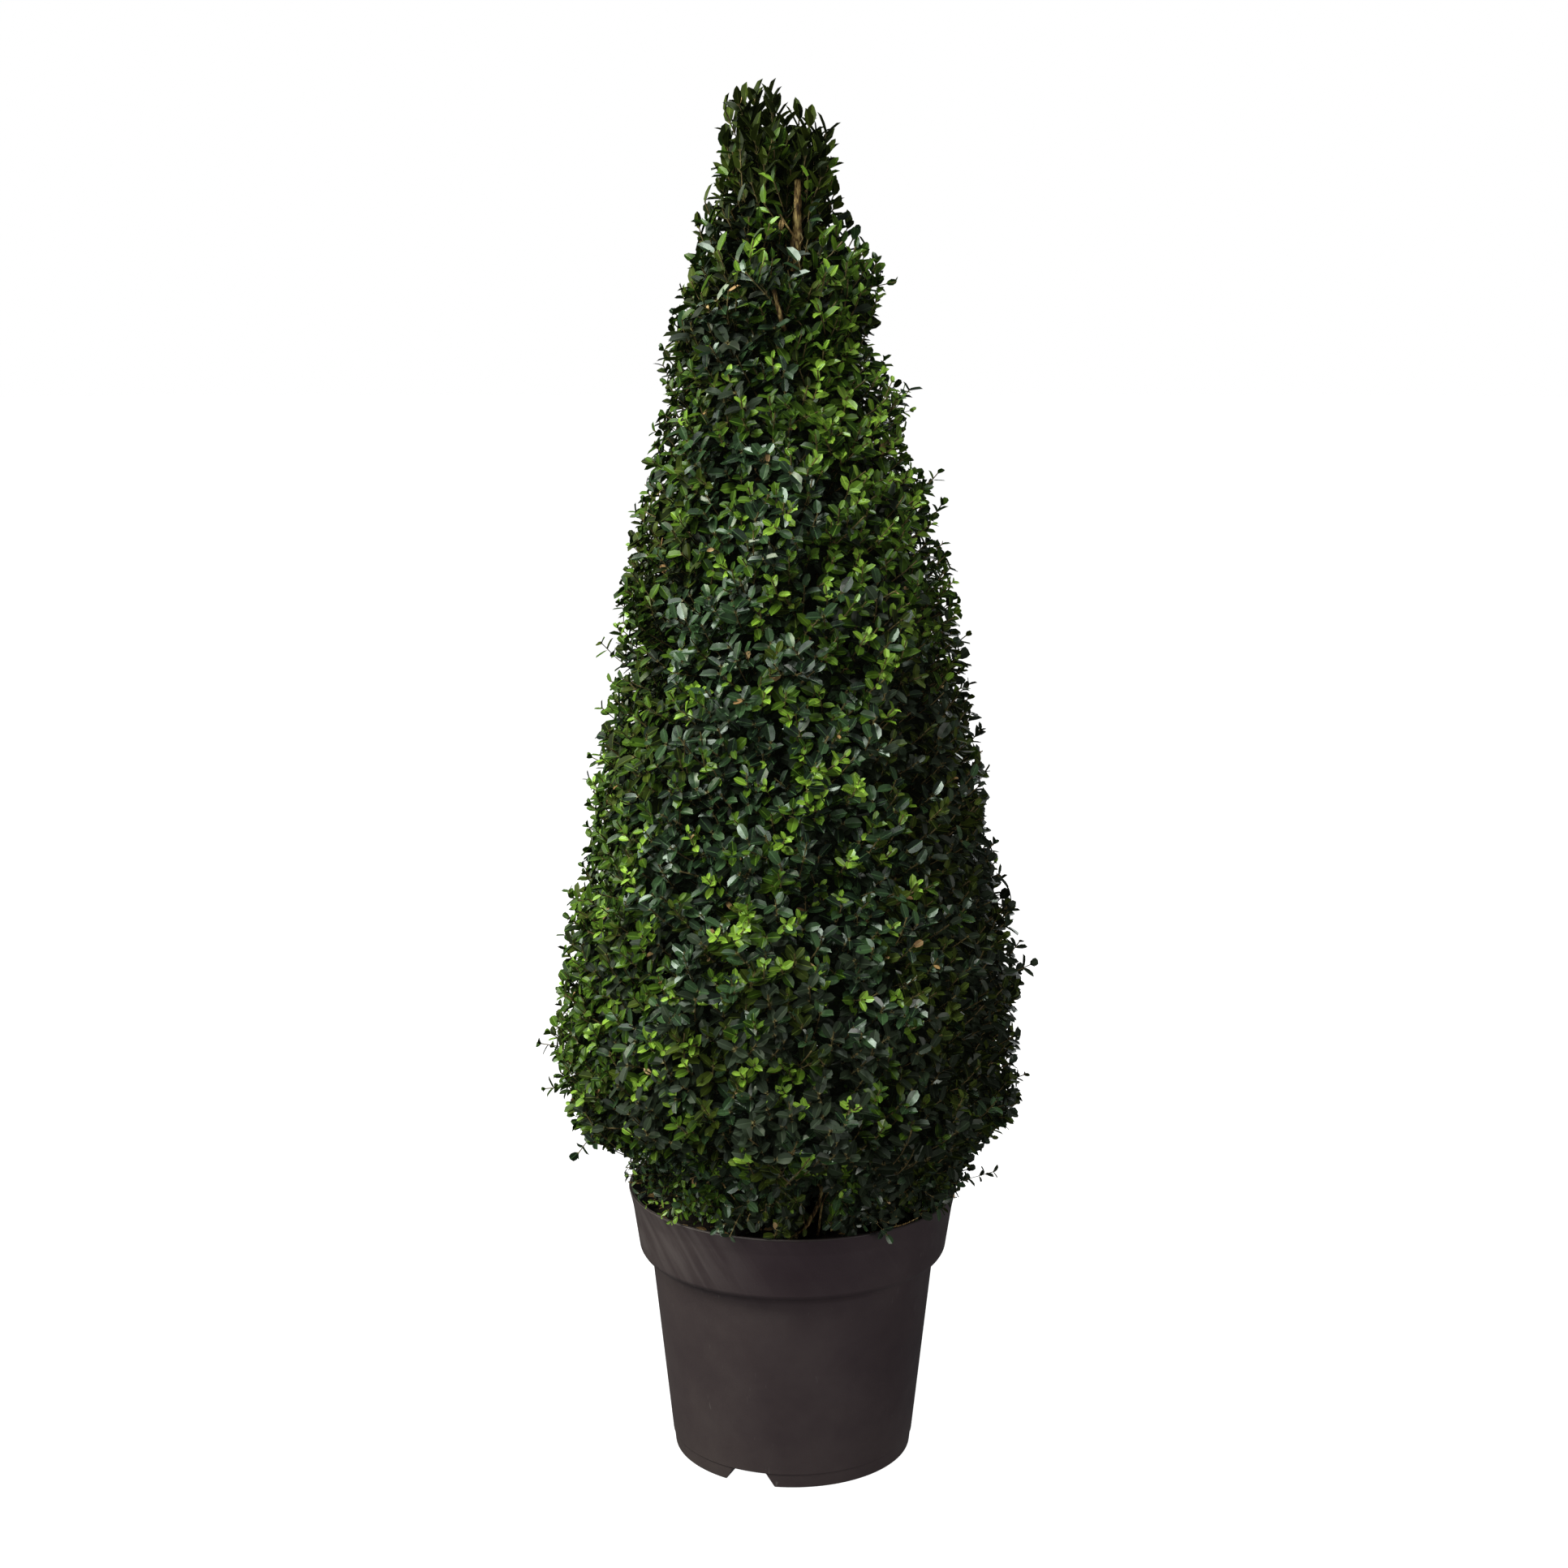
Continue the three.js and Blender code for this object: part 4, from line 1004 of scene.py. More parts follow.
# %% Deal out the colours
def spray_colours(tips, outward, layer, random):
    """A colour for each shoot, by chances that depend on the side and the height of its tip."""
    # the leaves inside are darker, partly with age and partly as painted shade
    if layer in ("inner", "deep"):
        return np.where(random.uniform(size=len(tips)) < 0.06, DULL, SHADED)
    right, back, height = outward[:, 0], outward[:, 1], tips[:, 2]
    # painted light and shade: sprays on the lit left of the foot are dealt brighter colours than the rest
    if layer == "foot":
        shaded = random.choice((SHADED, DARK, DULL, GREEN), len(tips), p=(0.48, 0.32, 0.13, 0.07))
        lit = random.choice((DARK, GREEN, YOUNG), len(tips), p=(0.50, 0.38, 0.12))
        return np.where(right < -0.45, lit, shaded)
    # painted shade: sprays near the foot, on the right flank and in the shaded drifts are dealt the shaded
    # colour more often, and those on the left fewer bright colours
    foot = falling(height, 500 * MM, 110 * MM)
    tuft = rising(height, 1.49, 50 * MM)
    flank = rising(right, 0.42, 0.26) * falling(height, 1.10, 0.15) * falling(back, 0.42, 0.4)
    painted_shade_left = (0.5 + 0.5 * rising(height, 1.0, 0.12)) * np.clip(-0.2 - right, 0, 0.5) * 1.1
    dim = np.clip(drift(tips, outward, SHADED_DRIFTS), 0, 1)
    olive = rising(height, 1.26, 120 * MM)
    mottled, rosettes = hollow(tips, 90 * MM, 40.0), np.clip(hollow(tips, 70 * MM, 80.0), 0, 1)
    green = 0.11 + 0.28 * mottled + drift(tips, outward, GREEN_DRIFTS)
    young = 0.09 + 0.25 * rosettes + 0.75 * drift(tips, outward, YOUNG_DRIFTS)
    for where, less_green, less_young in (
            (foot, 0.75, 0.65), (tuft, 0.5, 0.7), (flank, 0.8, 0.9), (painted_shade_left, 1.0, 1.0), (dim, 0.7, 0.1)):
        green, young = green * (1 - less_green * where), young * (1 - less_young * where)
    dull = 0.03 + drift(tips, outward, DULL_DRIFTS) + 0.15 * foot + 0.4 * tuft + 0.42 * flank + 0.25 * olive
    if layer == "late":
        green = green + 0.20 * (1 - flank)
    roll = random.uniform(size=len(tips))
    colour = np.where(random.uniform(size=len(tips)) < 0.5 * foot + dim + 0.7 * flank, SHADED, DARK)
    colour[tuft > 0.3] = DULL
    colour[roll < young + green + dull] = DULL
    colour[roll < young + green] = GREEN
    colour[roll < young] = YOUNG
    return colour


print("colours to deal:", DRY + 1)

# %% [markdown]
# ## Keeping clear
# Shoots must not grow through the container, the cut leader or the stem that shows at the front, and
# three gaps in the foliage leave the leader, an old fork and that stem in sight. A leaf whose middle or tip
# would lie in one of these places is simply left out, as a gardener would rub it off.

# %% Say what is in the way
# middle and reach of each gap, in millimetres
WINDOWS = (((6, -104, 1480), (15, 62, 46)), ((25, -184, 367), (13, 34, 40)), ((-17, -122, 1386), (9, 30, 17)))


def in_the_way(points):
    """Whether each point lies in the container, the compost, a gap or the cut leader."""
    distance = np.hypot(points[:, 0], points[:, 1])
    blocked = (points[:, 2] < SOIL_TOP + 3 * MM) & (distance < RIM_RADIUS + 2 * MM)
    blocked |= (points[:, 2] < POT_HEIGHT + 1.5 * MM) & (np.abs(distance - RIM_RADIUS + 4 * MM) < 7 * MM)
    blocked |= points[:, 2] < POT_HEIGHT - 22 * MM
    for centre, radii in WINDOWS:
        blocked |= np.linalg.norm((points - np.array(centre) * MM) / (np.array(radii) * MM), axis=1) < 1
    away = np.linalg.norm(points[:, :2] - leader_middle(points[:, 2]), axis=1)
    blocked |= (points[:, 2] < TRUNK_LINE[-1, 2] + 3 * MM) & (away < trunk_radius(points[:, 2]) + 2 * MM)
    return blocked


print("gap round the leader spans", WINDOWS[0][1], "mm")

# %% [markdown]
# ## One leaf
# A boxwood leaf is a small oval with a blunt tip and a fold along its midrib. It is modelled once, from a
# grid of eight faces: the two ends are drawn together to points, the middle rows are set to the width of
# the blade, and the margins are lifted so that the midrib is sunk. The halves part along the midrib, which
# keeps the fold crisp where the rest is smooth. Every other leaf is a copy of these few corners.

# %% Model one leaf
LEAF_ROWS = ((0.25, 0.20, 0.70), (0.50, 0.52, 1.0), (0.75, 0.83, 0.80))

deselect_all()
bpy.ops.mesh.primitive_grid_add(x_subdivisions=4, y_subdivisions=2, size=2, location=(0.5, 0, 0))
pattern = bpy.context.object
pattern.name = "leaf_pattern"
pattern.scale = (0.5, 1, 1)
settle(pattern)
edit(pattern)
for x, moved, width in LEAF_ROWS:
    pick_vertices(pattern, lambda place: abs(place.x - x) < 0.01)
    bpy.ops.transform.translate(value=(moved - x, 0, 0))
    bpy.ops.transform.resize(value=(1, width, 1), center_override=(moved, 0, 0))
for x in (0.0, 1.0):
    pick_vertices(pattern, lambda place: abs(place.x - x) < 0.01)
    bpy.ops.mesh.merge(type="CENTER")
pick_vertices(pattern, lambda place: abs(place.y) < 0.01)
bpy.ops.mesh.edge_split(type="EDGE")
pick_vertices(pattern, lambda place: abs(place.y) > 0.01)
bpy.ops.transform.translate(value=(0, 0, 1))
bpy.ops.mesh.select_all(action="SELECT")
bpy.ops.mesh.quads_convert_to_tris()
leave_edit_mode()
LEAF_POINTS = np.array([tuple(vertex.co) for vertex in pattern.data.vertices])
LEAF_FACES = np.array([tuple(face.vertices) for face in pattern.data.polygons])
LEAF_FACES_UP = [face.normal.z > 0 for face in pattern.data.polygons]
bpy.data.objects.remove(pattern)
print("one leaf has", len(LEAF_POINTS), "corners and", len(LEAF_FACES), "faces, upward:", sum(LEAF_FACES_UP))

# %% [markdown]
# ## From rules to meshes
# Sixty-seven thousand leaves can't be modelled one by one, and separate objects would be slow. Arrays
# copy the one leaf to every place at once, into one joined mesh, and give each copy its own width, cup
# and curl. Twigs are made the same way, as thin tubes of three or more sides.

# %% Copy the leaf
def joined_mesh(name, points, faces, chart=None, tones=None):
    """One object from many copies: points are (copies, corners, 3) and faces are of one copy."""
    copies, corners = points.shape[:2]
    all_faces = (np.arange(copies)[:, None, None] * corners + faces[None]).reshape(-1, faces.shape[1])
    mesh = bpy.data.meshes.new(name)
    mesh.vertices.add(copies * corners)
    mesh.vertices.foreach_set("co", points.astype(np.float32).ravel())
    mesh.loops.add(all_faces.size)
    mesh.loops.foreach_set("vertex_index", all_faces.astype(np.int32).ravel())
    mesh.polygons.add(len(all_faces))
    mesh.polygons.foreach_set("loop_start", np.arange(0, all_faces.size, faces.shape[1], dtype=np.int32))
    mesh.update(calc_edges=True)
    mesh.shade_smooth()
    if chart is not None:
        layer = mesh.uv_layers.new(name="blade")
        blades = np.tile(chart[faces].reshape(1, -1, 2), (copies, 1, 1))
        blades[:, :, 0] += tones[:, None]
        layer.data.foreach_set("uv", blades.astype(np.float32).ravel())
    piece = bpy.data.objects.new(name, mesh)
    bpy.context.scene.collection.objects.link(piece)
    print(name, "has", len(all_faces) * (faces.shape[1] - 2), "triangles")
    return piece


def leaf_points(place, blade, face, length, random):
    """The corners of every leaf: broad or narrow, a little cupped, and curled at its tip."""
    count = len(place)
    across = np.cross(face, blade)
    slender = np.interp(place[:, 2], (1.30, 1.52), (1.0, 0.80))
    half_width = length * random.uniform(0.235, 0.300, count) * slender
    cup = length * random.normal(0.090, 0.028, count)
    curl = length * random.normal(-0.09, 0.055, count)
    blunt = random.uniform(-0.12, 0.14, count) - (1 - slender) * 1.6
    taper = 1 + (LEAF_POINTS[None, :, 0] > 0.6) * blunt[:, None]
    x = LEAF_POINTS[None, :, 0] * length[:, None]
    y = LEAF_POINTS[None, :, 1] * half_width[:, None] * taper
    z = LEAF_POINTS[None, :, 2] * cup[:, None] + LEAF_POINTS[None, :, 0] ** 2 * curl[:, None]
    return (place[:, None] + x[..., None] * blade[:, None] + y[..., None] * across[:, None]
            + z[..., None] * face[:, None])


LEAF_TONES = 9
LEAF_CHART = np.stack([
    0.02 + 0.96 * LEAF_POINTS[:, 0],
    0.5 + 0.5 * np.sign(np.round(LEAF_POINTS[:, 1], 3))], axis=1)
print("leaf chart runs from", LEAF_CHART.min(axis=0), "to", LEAF_CHART.max(axis=0))

# %% Copy the tubes
def tube_points(paths, radii, sides):
    """The corners of many thin tubes. paths are (tubes, samples, 3) and radii are (tubes, samples)."""
    tangent = unit(np.gradient(paths, axis=1))
    side = unit(np.cross(tangent, np.array((0.11, 0.23, 0.31))))
    other = np.cross(tangent, side)
    turn = np.arange(sides) * 2 * math.pi / sides
    ring = (side[:, :, None] * np.cos(turn)[None, None, :, None]
            + other[:, :, None] * np.sin(turn)[None, None, :, None])
    return (paths[:, :, None] + ring * radii[:, :, None, None]).reshape(len(paths), -1, 3)


def tube_faces(samples, sides):
    """Quads round a tube, as corner numbers of one copy."""
    return np.array([(s * sides + i, s * sides + (i + 1) % sides, (s + 1) * sides + (i + 1) % sides,
                      (s + 1) * sides + i) for s in range(samples - 1) for i in range(sides)])


print("tube helpers ready")

# %% [markdown]
# ## Growing the crown
# Each layer is grown from the same rule: an outer one that meets the shears, an inner one behind it, a
# deep one that closes the view into the middle, and two at the foot. Short side shoots make the inner and
# the lowest layers bushy. Late sprigs, the long upright shoots of the tufts and the missed sprigs follow,
# and then a few fallen leaves. Leaves are gathered by colour, and stems by kind.

# %% Sort the leaves
# length of a leaf by its colour, in the order in which the colours were named
LEAF_SHARES = (1.0, 0.98, 0.84, 1.0, 1.0, 0.62)
AGEING_AND_SHADE_SHARE, DRY_SHARE = 0.35, 0.009
LEFT_EDGE, LEFT_EDGE_FOOT = -0.70, 430 * MM
TUFT_GREEN_FROM = 1430 * MM

random = np.random.default_rng(20)
leaves = {colour: [] for colour in (DARK, GREEN, YOUNG, DULL, SHADED, DRY)}
shoot_stems, side_stems, shoot_roots = [], [], []


def too_far_out(points, allowance):
    """Whether each point stands out past the shears, or low down past the line behind the rim."""
    on_left = points[:, 0] < -0.62 * np.hypot(points[:, 0], points[:, 1])
    set_back = np.where(points[:, 2] < 392 * MM, np.where(on_left, 27 * MM, 9 * MM), 0)
    return beyond_shears(points, allowance - set_back + 8 * MM * hollow(points, 45 * MM, 5.0))


def keep_leaves(place, blade, face, length, pair, owner, colours, shears_allowance):
    """Sorts leaves by colour and drops those that are in the way."""
    ends = place + blade * length[:, None]
    clear = ~in_the_way(ends) & ~in_the_way(place + blade * length[:, None] * 0.4)
    clear &= ~too_far_out(ends, shears_allowance)
    colour = colours[owner].copy()
    roll = random.uniform(size=len(colour))
    colour[(colour == YOUNG) & ((pair > 2) | (pair > 1) & (roll < 0.4))] = GREEN
    # older pairs turn a darker green with age, and some dark ones take the shaded colour as painted shade
    # below the younger leaves
    colour[(colour == GREEN) & (pair > 2) & (roll < AGEING_AND_SHADE_SHARE)] = DARK
    colour[(colour == DARK) & (pair > 2) & (roll < AGEING_AND_SHADE_SHARE)] = SHADED
    uneven = 0.10 * np.sin(23.0 * place[:, 2]) + 0.08 * np.sin(71.0 * place[:, 2] + 60.0 * place[:, 1])
    on_left = (outward_of(place)[:, 0] < uneven + LEFT_EDGE) & (place[:, 2] > LEFT_EDGE_FOOT)
    colour[(colour == DARK) & on_left & (roll < 0.40)] = DULL
    colour[(colour == DARK) & on_left & (roll < 0.85)] = GREEN
    colour[(colour == YOUNG) & (roll < 0.55) & (on_left | (place[:, 2] > TUFT_GREEN_FROM))] = GREEN
    colour[(colour != SHADED) & (random.uniform(size=len(colour)) < DRY_SHARE)] = DRY
    length = length * np.choose(colour, LEAF_SHARES)
    for value, store in leaves.items():
        chosen = clear & (colour == value)
        store.append((place[chosen], blade[chosen], face[chosen], length[chosen]))


print("leaves are sorted into", len(leaves), "colours")

# %% Helpers for growing
def grow_leaves(shoots, pairs, size, colours, shears_allowance, forward):
    """Places leaves on some shoots. The last pairs of old ones have grown to full size and opened wide."""
    mature = np.isin(colours, (DARK, SHADED)) * (forward == 1.0)
    placed = leaf_pairs(*shoots, pairs, random, size, mature, forward)
    keep_leaves(*placed, colours, shears_allowance)


def grow(tips, direction, length, name, pairs, sides, size, shears_allowance=9 * MM, forward=1.0):
    """Grows leaves on some shoots and their side shoots, and keeps their stems."""
    clear = ~in_the_way(tips) & ~in_the_way(tips - direction * length[:, None] * 0.5)
    clear &= ~too_far_out(tips, shears_allowance - 4 * MM)
    tips, direction, length = tips[clear], direction[clear], length[clear]
    outward = outward_of(tips)
    colours = spray_colours(tips, outward, name, random)
    grow_leaves((tips, direction, length, outward), pairs, size, colours, shears_allowance, forward)
    paths = shoot_path(tips, direction, length, outward, 4)
    paths[:, -1] += direction * 1.6 * MM
    radii = np.array((1.15, 0.95, 0.8, 0.95)) * min(1.0, size) * MM
    shoot_stems.append((paths, np.tile(radii, (len(tips), 1))))
    shoot_roots.append(paths[:, 0])
    for share in (0.45, 0.68)[:sides]:
        start = shoot_path(tips, direction, length, outward, 21)[:, int(share * 20)]
        aside = turned_round(direction, random.uniform(0, 2 * math.pi, len(tips)))
        heading = unit(direction * 0.62 + aside * 0.75 + outward * 0.35 + np.array((0, 0, 0.15)))
        reach = random.uniform(20, 31, len(tips)) * MM
        ends = start + heading * reach[:, None]
        grown = (random.uniform(size=len(tips)) < 0.85) & ~too_far_out(ends, shears_allowance - 6 * MM)
        side_colours = spray_colours(ends[grown], outward[grown], name, random)
        side_shoots = (ends[grown], heading[grown], reach[grown] * 1.6, outward[grown] * 0.2)
        grow_leaves(side_shoots, 3, size * 0.88, side_colours, shears_allowance, forward)
        side_stems.append((np.stack([start, ends], axis=1)[grown],
                           np.tile(np.array((0.7, 0.4)) * MM, (int(grown.sum()), 1))))
    print(name, "layer:", len(tips), "shoots")


# %% Grow every layer
# lower and upper limit of each band of height, and the size of its leaves
SIZES_BY_HEIGHT = ((0.0, 0.43, 0.74), (0.43, 1.33, 1.0), (1.33, 2.0, 1.2))

for layer in LAYERS:
    tips, direction, length = shoots_of(layer, random)
    size = 1.0 if layer["name"] == "outer" else 1.1
    for low, high, larger in SIZES_BY_HEIGHT:
        chosen = (tips[:, 2] >= low) & (tips[:, 2] < high)
        if chosen.any():
            grow(tips[chosen], direction[chosen], length[chosen],
                 layer["name"], layer["pairs"], layer["sides"], size * larger)
grow(*late_shoots(random), "late", 7, 0, 0.84, 18 * MM, 0.8)
grow(*crowning_shoots(random), "crowning", 7, 0, 1.52, 11 * MM, 0.9)
tips, direction, length = stray_shoots(random)
for name, chosen, size in (("foot", tips[:, 2] < 375 * MM, 0.62), ("stray", tips[:, 2] >= 375 * MM, 0.8)):
    grow(tips[chosen], direction[chosen], length[chosen], name, 7, 1, size, 1.0)

# leaves that fell on the compost
FALLEN, FALLEN_DRY = 130, 80
turns, reach = random.uniform(0, 2 * math.pi, FALLEN), random.uniform(118, 187, FALLEN) * MM
flat = unit(np.column_stack([random.normal(0, 1, (FALLEN, 2)), random.normal(0, 0.15, FALLEN)]))
upward = unit(np.column_stack([random.normal(0, 0.25, (FALLEN, 2)), np.ones(FALLEN)]))
lying = np.stack([reach * np.cos(turns), reach * np.sin(turns), np.full(FALLEN, SOIL_EDGE + 6 * MM)], axis=1)
for colour, chosen in ((DRY, slice(0, FALLEN_DRY)), (DULL, slice(FALLEN_DRY, FALLEN))):
    lengths = random.uniform(8, 16, FALLEN)[chosen] * MM
    leaves[colour].append((lying[chosen], flat[chosen], upward[chosen], lengths))
print("leaves:", {colour: sum(len(part[0]) for part in parts) for colour, parts in leaves.items()})

# %% [markdown]
# ## Branches inside
# Every shoot has to come from somewhere. Forks are spread inside the crown by the same spiral, each is
# joined to the leader or to the nearest stem by a branch that rises as it goes out, and each shoot's root
# is joined to the nearest fork by a twig. Little of this shows, but gaps look right because of it.

# %% Join shoots to forks and forks to limbs
def bent_paths(starts, ends, rise, samples):
    """Curves from some starts to some ends that are lifted by a rise at their middle."""
    share = np.linspace(0, 1, samples)[None, :, None]
    middle = ((starts + ends) / 2 + np.array((0, 0, 1)) * rise[:, None])[:, None]
    return (1 - share) ** 2 * starts[:, None] + 2 * share * (1 - share) * middle + share ** 2 * ends[:, None]


FORK_TOP, FORK_SPACING = 1560 * MM, 72 * MM
STEM_FORKS_TOP = 720 * MM

spots = spread(CROWN_BOTTOM + 30 * MM, FORK_TOP, FORK_SPACING, int(random.integers(1000)))
depth = np.interp(spots[:, 1], (1380 * MM, 1500 * MM), (98 * MM, 50 * MM))
forks = on_crown(spots[:, 0], spots[:, 1], depth)
forks = forks[~in_the_way(forks)]

stem_tips = np.array([path[-1] for path in bough_paths.values()])
climb = 0.55 * np.linalg.norm(forks[:, :2], axis=1) + rising(forks[:, 2], 1.36, 1.0) * 0.7
leave = np.clip(forks[:, 2] - climb, 0.36, 1.40)
starts = np.column_stack([leader_middle(leave), leave])
low = forks[:, 2] < STEM_FORKS_TOP
nearest_stem = np.argmin(np.linalg.norm(forks[:, None, :2] - stem_tips[None, :, :2], axis=2), axis=1)
starts[low] = stem_tips[nearest_stem[low]]
branch_paths = bent_paths(starts, forks, 0.1 * climb - 8 * MM, 7)
branch_radii = np.linspace(1, 0.42, 7)[None] * (2.2 + 10 * climb[:, None]) * MM

roots = np.vstack(shoot_roots)
nearest_fork = np.concatenate([
    np.argmin(np.linalg.norm(part[:, None] - forks[None] - (0, 0, 0.02), axis=2), axis=1)
    for part in np.array_split(roots, 20)])
twig_paths = bent_paths(forks[nearest_fork], roots, np.full(len(roots), -4 * MM), 3)
twig_radii = np.tile(np.linspace(1.5, 1.15, 3) * MM, (len(roots), 1))
print("forks:", len(forks), "and twigs to shoots:", len(roots))


# %% Join the woody pieces
def joined_stems(name, sets, samples):
    points = np.concatenate([tube_points(paths, radii, 3) for paths, radii in sets])
    return joined_mesh(name, points, tube_faces(samples, 3))


# bare twigs that the photograph shows: points along each, then its radii at both ends, in millimetres
BARE_TWIGS = (
    (((1, -26, 1330), (-13, -92, 1368), (-17, -98, 1385), (-22, -96, 1404)), 3.2, 2.6),
    (((4, -50, 1458), (-5, -60, 1470), (-15, -66, 1486)), 1.4, 0.9),
    (((29, -158, 323), (34, -160, 362), (44, -162, 382)), 1.5, 1.0),
    (((29, -161, 366), (38, -163, 384), (46, -165, 402)), 1.4, 0.9),
    (((154, -104, 325), (160, -104, 345), (166, -100, 365)), 1.5, 1.0),
    (((-199, -24, 340), (-190, -34, 342), (-180, -42, 345)), 1.1, 0.8),
    (((84, -152, 372), (100, -158, 384), (126, -156, 374), (148, -148, 392)), 0.9, 0.6),
    (((-87, -150, 391), (-72, -156, 372), (-56, -160, 354)), 1.1, 0.8),
    (((-66, -158, 378), (-40, -162, 392), (-20, -163, 388)), 0.9, 0.6),
    (((114, -166, 336), (130, -160, 338), (146, -150, 342)), 1.0, 0.6),
)
bare_paths = np.array([smooth_line(np.array(points) * MM, 14) for points, _, _ in BARE_TWIGS])
bare_radii = np.array([np.linspace(start, end, 14) * MM for _, start, end in BARE_TWIGS])

CROWN_NODES = [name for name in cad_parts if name.startswith("foliage")]
woody = [
    joined_mesh("bare_twigs", tube_points(bare_paths, bare_radii, 7), tube_faces(14, 7)),
    joined_mesh("branches", tube_points(branch_paths, branch_radii, 7), tube_faces(7, 7)),
    joined_stems("twigs", [(twig_paths, twig_radii)], 3),
    joined_stems("shoot_stems", shoot_stems, 4),
    joined_stems("side_stems", side_stems, 2),
]

# %% [markdown]
# ## Twig finishes
# Old wood inside is grey-brown like the limbs. The youngest stems that carry leaves are yellow-green and
# show as fine pale lines between them.

# %% Dress the woody pieces
young_bark, tree, shader, place = new_finish("young_stems")
tan = ramp_of(tree, noise_of(tree, place, 90.0, 3.0), [
    (0.30, (0.060, 0.046, 0.016)), (0.52, (0.140, 0.110, 0.036)), (0.74, (0.300, 0.230, 0.090))])
fill(tree, shader, {"Base Color": tan, "Roughness": 0.6})
for piece in woody:
    dress(piece, young_bark if "stems" in piece.name else bark, "bark", *CROWN_NODES)
print("crown nodes replaced:", len(CROWN_NODES))

# %% [markdown]
# ## Leaf finishes
# A boxwood leaf is leathery. Its upper face is deep green under a soft gloss, its midrib is a fine pale
# line, and its foot is tan like the twig. One finish is made for each colour of spray. A slow noise shifts
# it from spray to spray, and each leaf has its own tone, kept as the whole part of its place along the
# chart. A quick noise varies the gloss. The sheen is tinted a little green, and a faint glow stands for
# the light that passes through a blade. Midrib and foot follow the blade's own chart.

# %% Leaf finish
SHEEN_TINT = (0.86, 1.0, 0.86, 1.0)
PASSED_COLOUR = (0.85, 1.0, 0.65, 1.0)
PASSED_LIGHT = 0.0011
FOOT_COLOUR = (0.30, 0.25, 0.10)
MIDDLE_TONE = (LEAF_TONES - 1) / 2


def leaf_finish(name, deep, plain, pale, gloss, shine, rib=0.5):
    """A finish that shifts between three greens, with a midrib of some strength."""
    material, tree, shader, place = new_finish(name)
    slow = noise_of(tree, place, 22.0, 2.0, 0.5)
    quick = noise_of(tree, place, 75.0, 2.0, 0.6)
    base = ramp_of(tree, slow, [(0.30, deep), (0.52, plain), (0.74, pale)])
    chart = tree.nodes.new("ShaderNodeUVMap")
    chart.uv_map = "blade"
    blade = fill(tree, tree.nodes.new("ShaderNodeSeparateXYZ"), {"Vector": chart.outputs["UV"]}).outputs
    tone = worked_out(tree, "FLOOR", blade["X"])
    varied = mixed(tree, range_of(tree, tone, 0.0, 0.75, MIDDLE_TONE, LEAF_TONES - 1.0), base, pale)
    varied = mixed(tree, range_of(tree, tone, 0.75, 0.0, 0.0, MIDDLE_TONE - 0.5), varied, deep)
    off_rib = worked_out(tree, "ABSOLUTE", worked_out(tree, "SUBTRACT", blade["Y"], 0.5))
    lighter = tuple(min(1.0, value * 2.2 + 0.02) for value in pale)
    ribbed = mixed(tree, range_of(tree, off_rib, rib, 0.0, 0.02, 0.07), varied, lighter)
    foot = range_of(tree, worked_out(tree, "FRACT", blade["X"]), 0.9, 0.0, 0.05, 0.17)
    fill(tree, shader, {
        "Base Color": mixed(tree, foot, ribbed, FOOT_COLOUR),
        "Roughness": range_of(tree, quick, gloss - 0.05, gloss + 0.10),
        "Normal": relief(tree, noise_of(tree, place, 300.0, 2.0), 0.00005),
        "Specular IOR Level": shine, "Specular Tint": SHEEN_TINT,
        "Emission Color": PASSED_COLOUR, "Emission Strength": PASSED_LIGHT})
    return material


print("middle tone of a leaf:", MIDDLE_TONE)

# %% One finish for each colour
# name, deep, plain and pale colour, roughness, strength of the sheen, and of the midrib where it is fainter
LEAF_LOOKS = {
    DARK: ("leaf_dark", (0.006, 0.013, 0.007), (0.011, 0.026, 0.011), (0.050, 0.110, 0.037), 0.25, 0.72),
    GREEN: ("leaf_green", (0.012, 0.033, 0.003), (0.033, 0.078, 0.006), (0.100, 0.195, 0.015), 0.28, 0.30),
    YOUNG: ("leaf_young", (0.130, 0.270, 0.018), (0.215, 0.405, 0.032), (0.330, 0.570, 0.065), 0.30, 0.60),
    DULL: ("leaf_dull", (0.009, 0.014, 0.002), (0.020, 0.034, 0.004), (0.066, 0.098, 0.010), 0.42, 0.12),
    # the shaded colour is painted shade: a darker, duller copy of the leaf green
    SHADED: ("leaf_shaded", (0.010, 0.015, 0.008), (0.015, 0.024, 0.012), (0.026, 0.041, 0.020), 0.38, 0.26),
    DRY: ("leaf_dry", (0.26, 0.140, 0.050), (0.46, 0.28, 0.10), (0.62, 0.45, 0.22), 0.55, 0.3, 0.2),
}
leaf_finishes = {colour: leaf_finish(*look) for colour, look in LEAF_LOOKS.items()}
print("leaf finishes:", len(leaf_finishes))

# %% [markdown]
# ## Joining the leaves
# A mesh with a million faces is slow to open and to store, so the dark, shaded and green leaves are each
# joined in bands of height that each stay well under two hundred thousand triangles, and the young, dull
# and dry ones in one piece each. The bands follow the foliage solids, so that each joined piece stands for
# the masses whose space it fills.

# %% Join each colour in bands
GROUND, ABOVE_TIP = 0.0, 9.0
BANDS = {
    "skirt": (GROUND, 0.560, [name for name in CROWN_NODES if "skirt" in name]),
    "body": (0.560, 0.960, ["foliage_lower", "foliage_middle"]),
    "top": (0.960, ABOVE_TIP, [
        name for name in CROWN_NODES if "top" in name or "upper" in name or "tuft" in name]),
}


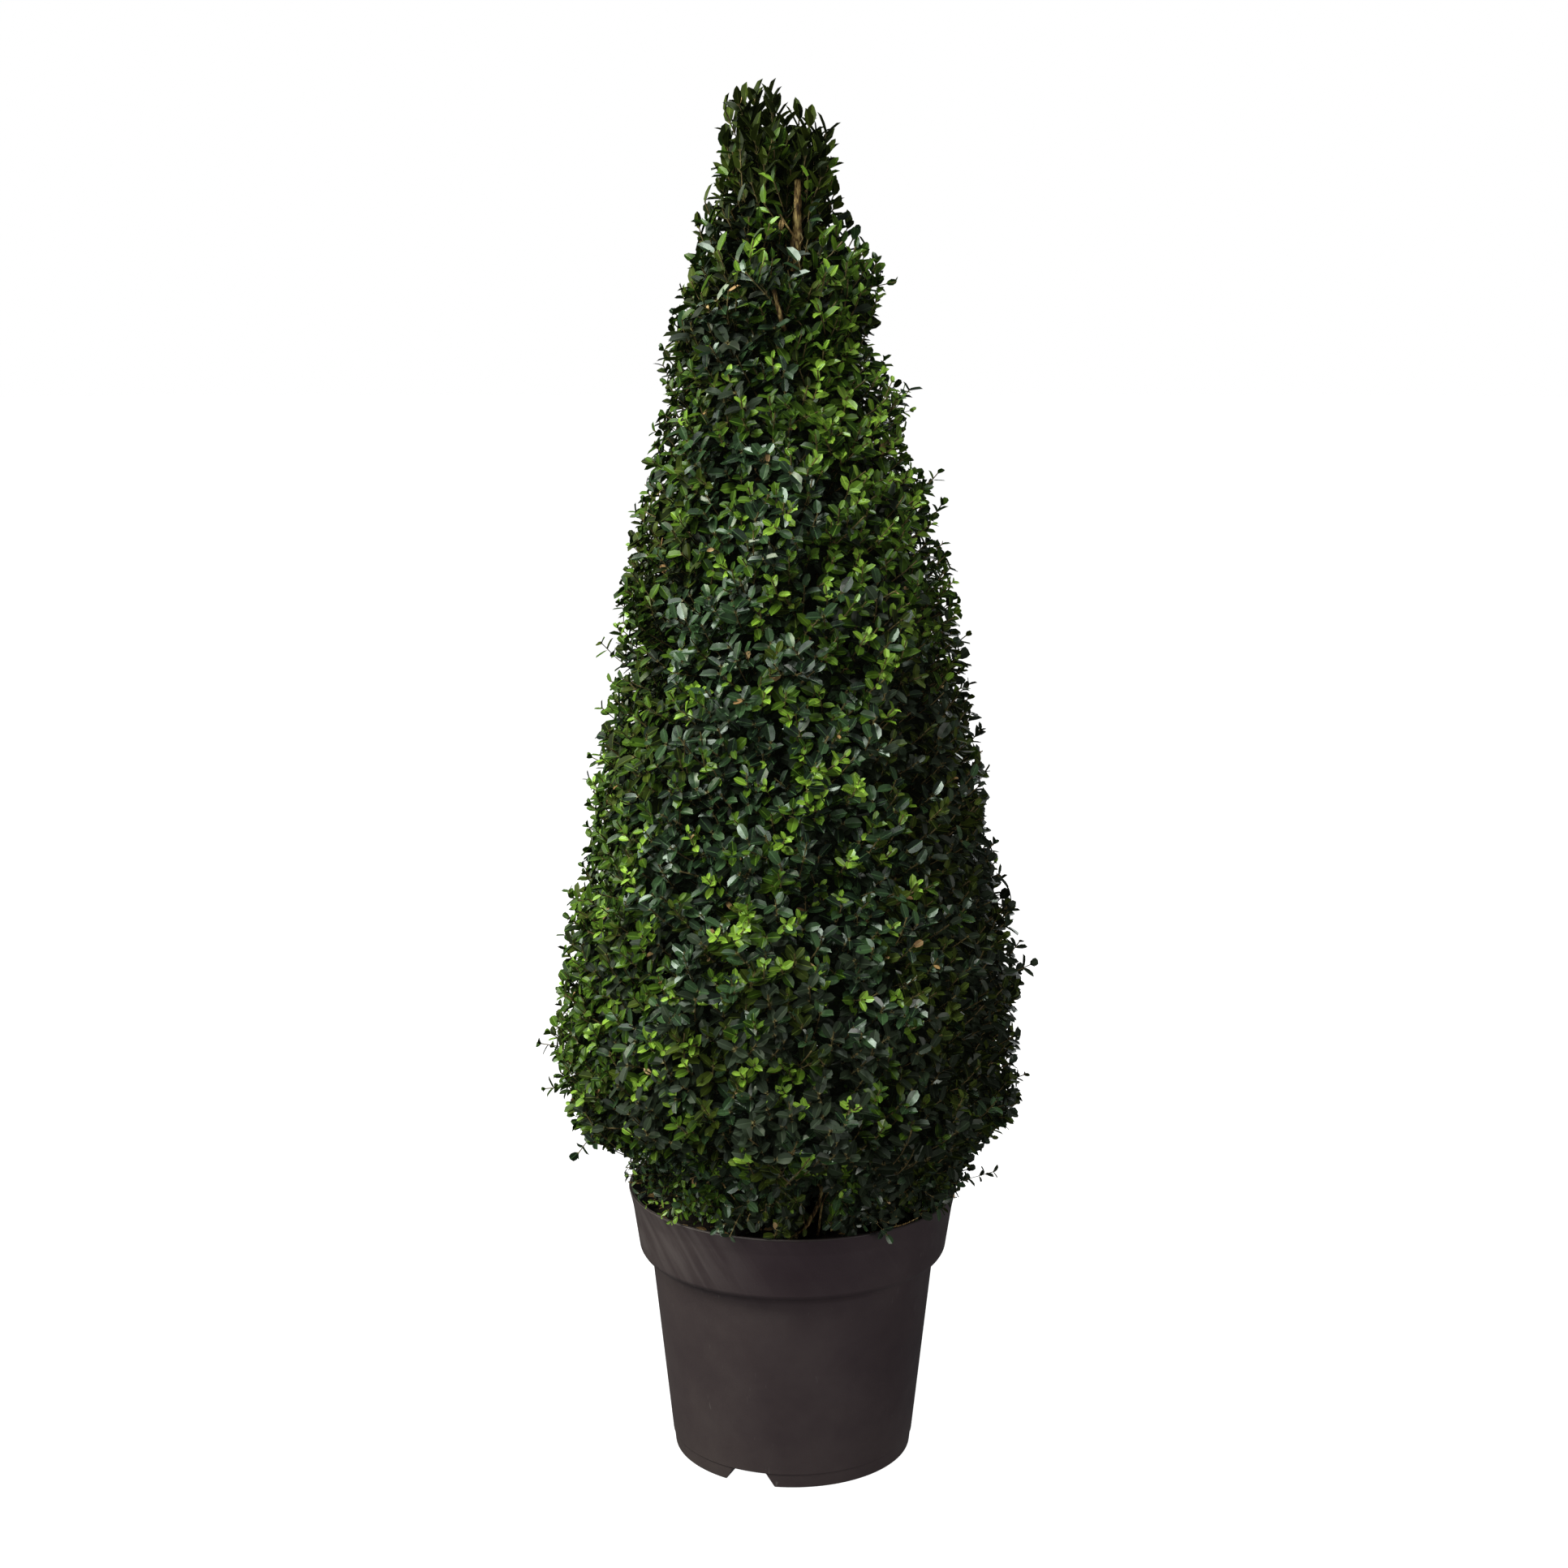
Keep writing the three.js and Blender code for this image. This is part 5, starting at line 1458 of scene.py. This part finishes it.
def join_leaves(name, colour, low, high, nodes):
    place, blade, face, length = (np.concatenate(column) for column in zip(*leaves[colour]))
    chosen = (place[:, 2] >= low) & (place[:, 2] < high)
    points = leaf_points(place[chosen], blade[chosen], face[chosen], length[chosen], random)
    tones = random.integers(0, LEAF_TONES, len(points))
    piece = joined_mesh(name, points, LEAF_FACES, LEAF_CHART, tones)
    dress(piece, leaf_finishes[colour], "leaves", *nodes)


for band, (low, high, nodes) in BANDS.items():
    for kind, colour in (("dark", DARK), ("shaded", SHADED), ("green", GREEN)):
        join_leaves(f"leaves_{kind}_{band}", colour, low, high, nodes)
for kind, colour in (("young", YOUNG), ("dull", DULL), ("dry", DRY)):
    join_leaves(f"leaves_{kind}", colour, GROUND, ABOVE_TIP, CROWN_NODES)

# %% [markdown]
# ## Floor and backdrop
# A plain pale floor carries the container. A large dome round the scene is seen by the camera alone, and
# the floor glows a little of itself, so that both look equally pale while only the lamps shape the plant.

# %% Lay the floor
WHITE, BLACK = (1.0, 1.0, 1.0, 1.0), (0.0, 0.0, 0.0, 1.0)
GLOW = {"Specular IOR Level": 0.0, "Emission Color": WHITE, "Emission Strength": 1.0}

deselect_all()
bpy.ops.mesh.primitive_plane_add(size=58, location=(0, 0, 0))
floor = bpy.context.object
floor.name = "floor"
pale, tree, shader, place = new_finish("pale_floor")
grey = ramp_of(tree, noise_of(tree, place, 3.0, 3.0), [
    (0.3, (0.26, 0.26, 0.258)), (0.7, (0.28, 0.28, 0.278))])
fill(tree, shader, {"Base Color": grey, "Roughness": 0.9, **GLOW})
floor.data.materials.append(pale)
floor.visible_diffuse = floor.visible_glossy = False

bpy.ops.mesh.primitive_uv_sphere_add(segments=48, ring_count=24, radius=30, location=(0, 0, 0))
backdrop = bpy.context.object
backdrop.name = "backdrop"
sky, tree, shader, _ = new_finish("pale_backdrop")
fill(tree, shader, {"Base Color": BLACK, **GLOW})
backdrop.data.materials.append(sky)
backdrop.visible_diffuse = backdrop.visible_glossy = backdrop.visible_shadow = False
backdrop.visible_transmission = backdrop.visible_volume_scatter = False
print("floor and backdrop ready")
